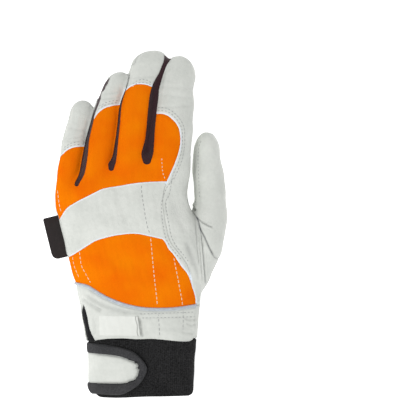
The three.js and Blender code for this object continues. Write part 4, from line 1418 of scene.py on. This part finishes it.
@dataclass
class Cuff:
    """Knitted cuff with a rolled hem."""

    wall: float = 2.4
    roll: float = 1.3

    def make(self, form: CuffForm, relief: Relief) -> bpy.types.Object:
        """Makes the cuff."""
        surface = form.surface
        p, n = surface.fields["p"], surface.fields["n"]
        apart = Edges([surface]).distance(p)
        turned = self.roll * (1 - np.sqrt(1 - np.clip(1 - apart / self.roll, 0, 1) ** 2)) * (p[:, 1] < -20)
        pressed = 1.5 * fade(p[:, 0], form.left + 12, form.left + 3) * fade(-p[:, 1], 1, 5)
        height = 0.7 * relief.slack(p) * fade(-p[:, 1], 2, 8) - turned - pressed
        p = p + n * height[:, None]
        p[:, 2] = np.maximum(p[:, 2], 0)
        shaped = Surface({"p": p, "n": n}, surface.tris)
        return made_piece("knitted_cuff", shaped, Finish.KNIT, ("cuff",), self.wall)


@dataclass
class Strap:
    """Closing strap: leather with a padded binding round its edge."""

    leather_height: float = 2.1
    binding_height: float = 2.2
    puff: float = 1.9
    low: float = 7.0
    ragged: float = 0.75
    cut: tuple[float, float] = (53.0, 24.0)

    outer = [
        (-0.8, -0.49), (-0.3, -0.49), (0.15, -0.49), (0.52, -0.50), (0.68, -0.44), (0.84, -0.326),
        (0.945, -0.188), (1.0, 0.0), (0.91, 0.173), (0.77, 0.309), (0.59, 0.384), (0.33, 0.443), (0.0, 0.470),
        (-0.3, 0.480), (-0.8, 0.480),
    ]
    inner = [
        (-0.8, -0.279), (-0.3, -0.279), (0.0, -0.282), (0.335, -0.288), (0.55, -0.285), (0.67, -0.265),
        (0.77, -0.215), (0.845, -0.120), (0.872, -0.020), (0.845, 0.065), (0.77, 0.125), (0.635, 0.192),
        (0.50, 0.235), (0.2, 0.270), (-0.3, 0.288), (-0.8, 0.288),
    ]

    def line(self, form: CuffForm, shares: Points) -> np.ndarray:
        """Outline on the cuff, from shares of the strap's length and width."""
        rows = np.array(shares) * [STRAP_LENGTH, STRAP_WIDTH]
        return curve(rows + [form.left + 1.0, -CUFF_LENGTH / 2], 1.0)

    def make(self, form: CuffForm) -> tuple[bpy.types.Object, bpy.types.Object]:
        """Makes the strap's leather and its binding."""
        base = form.surface
        base = base.kept(base.fields["p"][base.tris].mean(1)[:, 0] < form.left + STRAP_LENGTH + 6)
        outer, inner = self.line(form, self.outer), self.line(form, self.inner)
        rough = np.random.default_rng(11).normal(size=(len(inner), 2)) * self.ragged
        end = fade(inner[:, 0], form.left + 0.62 * STRAP_LENGTH, form.left + 0.85 * STRAP_LENGTH)
        inner = inner + rough * end[:, None]
        _, base = base.parted(base.fields["p"][:, 2] - self.low, 0.0)
        strap, _ = base.parted(distances(form.unrolled(base), outer, True)[0], 0.0)
        leather, binding = strap.parted(distances(form.unrolled(strap), inner, True)[0], 0.1)
        inside = -distances(form.unrolled(binding), outer, True)[0]
        outside = distances(form.unrolled(binding), inner, True)[0]
        share = np.clip(inside / np.clip(inside + outside, 0.1, None), 0, 1)
        crown = np.sqrt(np.clip(1 - (2 * share - 1) ** 2, 0, 1))
        height = 0.5 + self.binding_height * np.minimum(1, crown * 1.6) + self.puff * crown
        self.raise_by(binding, height)
        binding.fields["crease"] = np.zeros(len(height))
        apart = Edges([leather]).distance(leather.fields["p"])
        self.raise_by(leather, self.leather_height - 1.1 * np.exp(-((apart / 1.1) ** 2)))
        # Painted shade along the leather's edge beside the padded binding.
        leather.fields["crease"] = 0.45 * np.exp(-((apart / 0.8) ** 2))
        made = made_piece("strap_leather_sheet", leather, Finish.LEATHER, ("strap_leather",), 1.3)
        bound = made_piece("strap_padded_binding", binding, Finish.BINDING, ("strap_binding",), 1.4)
        declared_sheet(made, leather, self.cut)
        return made, bound

    @staticmethod
    def raise_by(surface: Surface, height: np.ndarray) -> None:
        """Lifts a surface along its directions, never below the floor."""
        n = surface.fields["n"]
        n = n / np.clip(np.linalg.norm(n, axis=1, keepdims=True), 1e-9, None)
        x = surface.fields["p"][:, 0]
        height = height * (0.25 + 0.75 * fade(x, x.min() + 1, x.min() + 12))
        p = surface.fields["p"] + n * height[:, None]
        p[:, 2] = np.maximum(p[:, 2], 0)
        surface.fields["p"] = p


def net(places: np.ndarray) -> Surface:
    """Surface over a net of places, rows by columns, facing up where rows run up and columns right."""
    rows, columns = places.shape[:2]
    at = np.arange(rows * columns).reshape(rows, columns)
    a, b, c, d = at[:-1, :-1].ravel(), at[:-1, 1:].ravel(), at[1:, 1:].ravel(), at[1:, :-1].ravel()
    tris = np.vstack([np.stack([a, b, c], 1), np.stack([a, c, d], 1)])
    return Surface({"p": places.reshape(-1, 3), "n": places.reshape(-1, 3) * 0}, tris)


@dataclass
class WristLabel:
    """Blank woven label on the wrist, its thumb side lifted into a small fold."""

    corners = [(-0.252, 0.022), (0.050, 0.018), (0.032, 0.130), (-0.254, 0.134)]
    proud: float = 0.45
    thick: float = 0.35
    cut: tuple[float, float] = (31.5, 15.5)

    def make(self, outside: Outside) -> bpy.types.Object:
        """Lays the label on the leather."""
        a, b, c, d = palm_points(self.corners)
        u, v = np.meshgrid(np.linspace(0, 1, 90), np.linspace(0, 1, 44))
        u, v = u[..., None], v[..., None]
        plan = a * (1 - u) * (1 - v) + b * u * (1 - v) + c * u * v + d * (1 - u) * v
        height = np.array([[outside.top(*at)[0].z for at in row] for row in plan])
        lifted = 1.3 * np.exp(-(((u[..., 0] - 0.985) / 0.035) ** 2))
        edge = np.minimum(np.minimum(u, 1 - u) * 30, np.minimum(v, 1 - v) * 14)[..., 0]
        height = height + self.proud + lifted - 0.35 * np.exp(-((edge / 0.5) ** 2))
        surface = net(np.dstack([plan, height]))
        u, v = u[..., 0], v[..., 0]
        # Painted shadow along the tucked fold at the label's thumb side.
        tucked = np.exp(-(((u - 0.945 + 0.012 * np.sin(9 * v)) / 0.012) ** 2))
        surface.fields["crease"] = (0.75 * tucked).ravel()
        piece = made_piece("wrist_label_sheet", surface, Finish.LABEL, ("size_label",), self.thick)
        declared_sheet(piece, surface, self.cut)
        return piece


@dataclass
class SideTag:
    """Blank woven tag held in the side seam, with rounded corners."""

    start = (-0.562, 0.704)
    stop = (-0.486, 0.468)
    width: float = 11.8
    inner: float = 3.0
    corner: float = 4.8
    small_corner: float = 1.2
    middle: float = 0.5
    belly: float = 0.5
    droop: float = 0.25
    droop_reach: float = 6.0
    thick: float = 0.9

    def make(self) -> bpy.types.Object:
        """Makes the tag."""
        a, b = palm_points([self.start, self.stop])
        down = (b - a) / np.linalg.norm(b - a)
        out = np.array([down[1], -down[0]])
        length = float(np.linalg.norm(b - a))
        rows, columns = 70, 34
        s = np.linspace(0, 1, rows)[:, None] * length
        w = np.linspace(-self.inner, self.width, columns)[None, :]
        cut = np.clip((w - (self.width - self.corner)) / self.corner, 0, 1)
        stop = length - self.corner * (1 - np.sqrt(1 - cut**2)) + 0 * s
        small = np.clip((w - (self.width - self.small_corner)) / self.small_corner, 0, 1)
        begin = self.small_corner * (1 - np.sqrt(1 - small**2))
        s = begin + s / length * (stop - begin)
        plan = a + s[..., None] * down + w[..., None] * out * np.ones_like(s)[..., None]
        height = self.middle * HAND_HEIGHT + self.belly * np.sin(s / length * math.pi) * (w / self.width)
        height = height - self.droop * (w / self.droop_reach) ** 2
        surface = net(np.dstack([plan, height]))
        piece = made_piece("side_tag_sheet", surface, Finish.TAG, ("side_tag",), self.thick)
        flat = (self.width + self.inner + 0.3, length + 0.3)
        declared_sheet(piece, surface, flat)
        return piece


@dataclass(frozen=True)
class Row:
    """A row of stitches.

    Args:
        line: Its points, as shares of the palm.
        pitch: From stitch to stitch, in millimetres.
        length: Length of a stitch.
    """

    line: Points
    pitch: float = 3.3
    length: float = 2.2


@dataclass
class Stitching:
    """Rows of stitches: cream on the cloth, grey on the leather, where the thread is darkened as painted
    shade for the stitch holes.
    """

    radius: float = 0.31
    sunk: float = 0.05
    rows = [
        Row([(0.059, 0.875), (0.063, 0.818), (0.096, 0.664), (0.111, 0.619), (0.126, 0.573), (0.148, 0.391),
             (0.178, 0.174), (0.193, 0.015)]),
        Row([(0.296, 0.465), (0.333, 0.317), (0.363, 0.174), (0.363, 0.032)]),
        Row([(-0.400, 0.499), (-0.385, 0.419), (-0.356, 0.374), (-0.319, 0.322)]),
        Row([(-0.563, 0.847), (-0.548, 0.761), (-0.533, 0.716)]),
        Row([(-0.452, 0.470), (-0.444, 0.425), (-0.425, 0.385), (-0.405, 0.350)]),
        Row([(0.207, 1.029), (0.215, 0.949), (0.237, 0.898)], 2.7, 1.4),
        *[Row(line, 2.7, 1.3) for line in SIDE_ROWS],
        Row([(0.041, 0.144), (0.457, 0.153)], 2.7, 1.3),
        Row([(0.056, 0.121), (0.450, 0.126)], 2.7, 1.3),
        Row([(0.500, 1.130), (0.484, 1.100), (0.476, 1.053), (0.474, 1.013), (0.479, 0.921), (0.483, 0.839),
             (0.486, 0.798)], 2.7, 1.3),
        Row([(-0.014, 1.448), (0.020, 1.466), (0.060, 1.476), (0.100, 1.470), (0.136, 1.452)], 2.7, 1.3),
        Row([(-0.018, 1.432), (0.020, 1.450), (0.060, 1.459), (0.100, 1.454), (0.132, 1.439)], 2.7, 1.3),
        Row([(-0.272, 1.303), (-0.215, 1.328), (-0.162, 1.340), (-0.116, 1.345)], 2.7, 1.3),
        Row([(-0.266, 1.320), (-0.215, 1.341), (-0.162, 1.353), (-0.118, 1.358)], 2.7, 1.3),
        Row([(-0.520, 1.070), (-0.500, 1.082), (-0.469, 1.096), (-0.434, 1.103), (-0.392, 1.106)], 2.7, 1.3),
        Row([(-0.520, 1.084), (-0.500, 1.096), (-0.469, 1.110), (-0.434, 1.117), (-0.394, 1.120)], 2.7, 1.3),
    ]

    def capsule(self) -> tuple[np.ndarray, np.ndarray]:
        """One stitch of length 1 along X: its corners and triangles."""
        along = np.array([-0.5, -0.42, -0.2, 0.2, 0.42, 0.5])
        form = tube(np.stack([along, np.zeros(6), np.zeros(6)], 1), 1.0, 7)
        places = form.fields["p"].copy()
        ring = np.repeat([0.35, 0.8, 1.0, 1.0, 0.8, 0.35], 7)
        places[:-2, 1:] *= ring[:, None]
        return places, form.tris

    def make(self, outside: Outside) -> list[bpy.types.Object]:
        """Sews every row."""
        base, tris = self.capsule()
        groups: dict[Finish, list[np.ndarray]] = {Finish.CREAM: [], Finish.GREY: []}
        for row in self.rows:
            line = curve(palm_points(row.line), 0.25)
            walked = np.concatenate([[0], np.cumsum(np.linalg.norm(np.diff(line, axis=0), axis=1))])
            for at in np.arange(row.pitch / 2, walked[-1], row.pitch):
                ends = []
                for place in (at - row.length / 2, at + row.length / 2):
                    x, y = np.interp(place, walked, line[:, 0]), np.interp(place, walked, line[:, 1])
                    ends.append(outside.top(x, y))
                if None in ends or ends[0][2] is not ends[1][2]:
                    continue
                finish = {Finish.CLOTH: Finish.CREAM, Finish.LEATHER: Finish.GREY}.get(ends[0][2])
                if finish is None or (ends[0][0] - ends[1][0]).length > 1.5 * row.length:
                    continue
                ahead = np.array(ends[1][0] - ends[0][0])
                up = np.array(ends[0][1])
                across = np.cross(up, ahead)
                across /= np.linalg.norm(across)
                middle = np.array(ends[0][0] + ends[1][0]) / 2 - self.sunk * up
                thick = self.radius * (1.15 if finish is Finish.CREAM else 0.85)
                turned = base[:, :1] * ahead + base[:, 1:2] * across * thick + base[:, 2:] * up * thick * 0.8
                groups[finish].append(turned + middle)
        made = []
        for finish, found in groups.items():
            count = len(base)
            faces = np.vstack([tris + i * count for i in range(len(found))])
            surface = Surface({"p": np.vstack(found), "n": np.vstack(found) * 0}, faces)
            made.append(made_piece("stitches_" + finish.name.lower(), surface, finish))
            log.info("%d %s stitches", len(found), finish.name.lower())
        return made


@dataclass
class Studio:
    """Pale floor, soft light, and a camera straight above."""

    centre: tuple[float, float] = (48.4, 17.3)
    field_wide: float = 296.0
    height: float = 2600.0
    level: float = 25.0
    sensor: float = 36.0

    def light(self, name: str, place: tuple[float, float, float], size: float, power: float) -> None:
        """A square soft light aimed at the glove."""
        data = bpy.data.lights.new(name, "AREA")
        data.size = size
        data.energy = power
        lamp = bpy.data.objects.new(name, data)
        lamp.location = place
        lamp.rotation_euler = (-Vector(place)).to_track_quat("-Z", "Y").to_euler()
        bpy.context.collection.objects.link(lamp)

    def make(self) -> None:
        """Sets the stage."""
        bpy.ops.object.select_all(action="DESELECT")
        bpy.ops.mesh.primitive_plane_add(size=6.0, location=(0, 0, 0))
        floor = bpy.context.active_object
        floor.name = "floor"
        floor.data.materials.append(Finish.FLOOR.material)
        self.light("key", (-0.55, -0.5, 1.6), 0.6, 16.5)
        self.light("fill", (0.9, 0.9, 1.4), 1.2, 1.0)
        world = bpy.data.worlds.new("studio")
        world.use_nodes = True
        world.node_tree.nodes["Background"].inputs["Color"].default_value = (1, 1, 1, 1)
        world.node_tree.nodes["Background"].inputs["Strength"].default_value = 0.60
        bpy.context.scene.world = world
        bpy.context.scene.view_settings.view_transform = "Standard"
        data = bpy.data.cameras.new("camera")
        data.sensor_width = self.sensor
        data.lens = self.sensor * self.height / self.field_wide
        data.clip_end = 20.0
        camera = bpy.data.objects.new("camera", data)
        x, y = self.centre
        camera.location = (x * MM, y * MM, (self.height + self.level) * MM)
        bpy.context.collection.objects.link(camera)
        bpy.context.scene.camera = camera


def main() -> None:
    """Builds the glove and its stage."""
    logging.basicConfig(level=logging.INFO, format="%(message)s")
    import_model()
    bpy.ops.object.select_all(action="DESELECT")
    relief = Relief()
    hand = SewnHand()
    hand.cut(HandField().surface())
    hand.shape(relief)
    hand.make()
    outside = Outside(hand.pieces, hand.finishes)
    Piping().make(outside, palm_points(hand.piping_line))
    form = CuffForm()
    Cuff().make(form, relief)
    Strap().make(form)
    WristLabel().make(outside)
    SideTag().make()
    Stitching().make(outside)
    Studio().make()


if __name__ == "__main__":
    main()
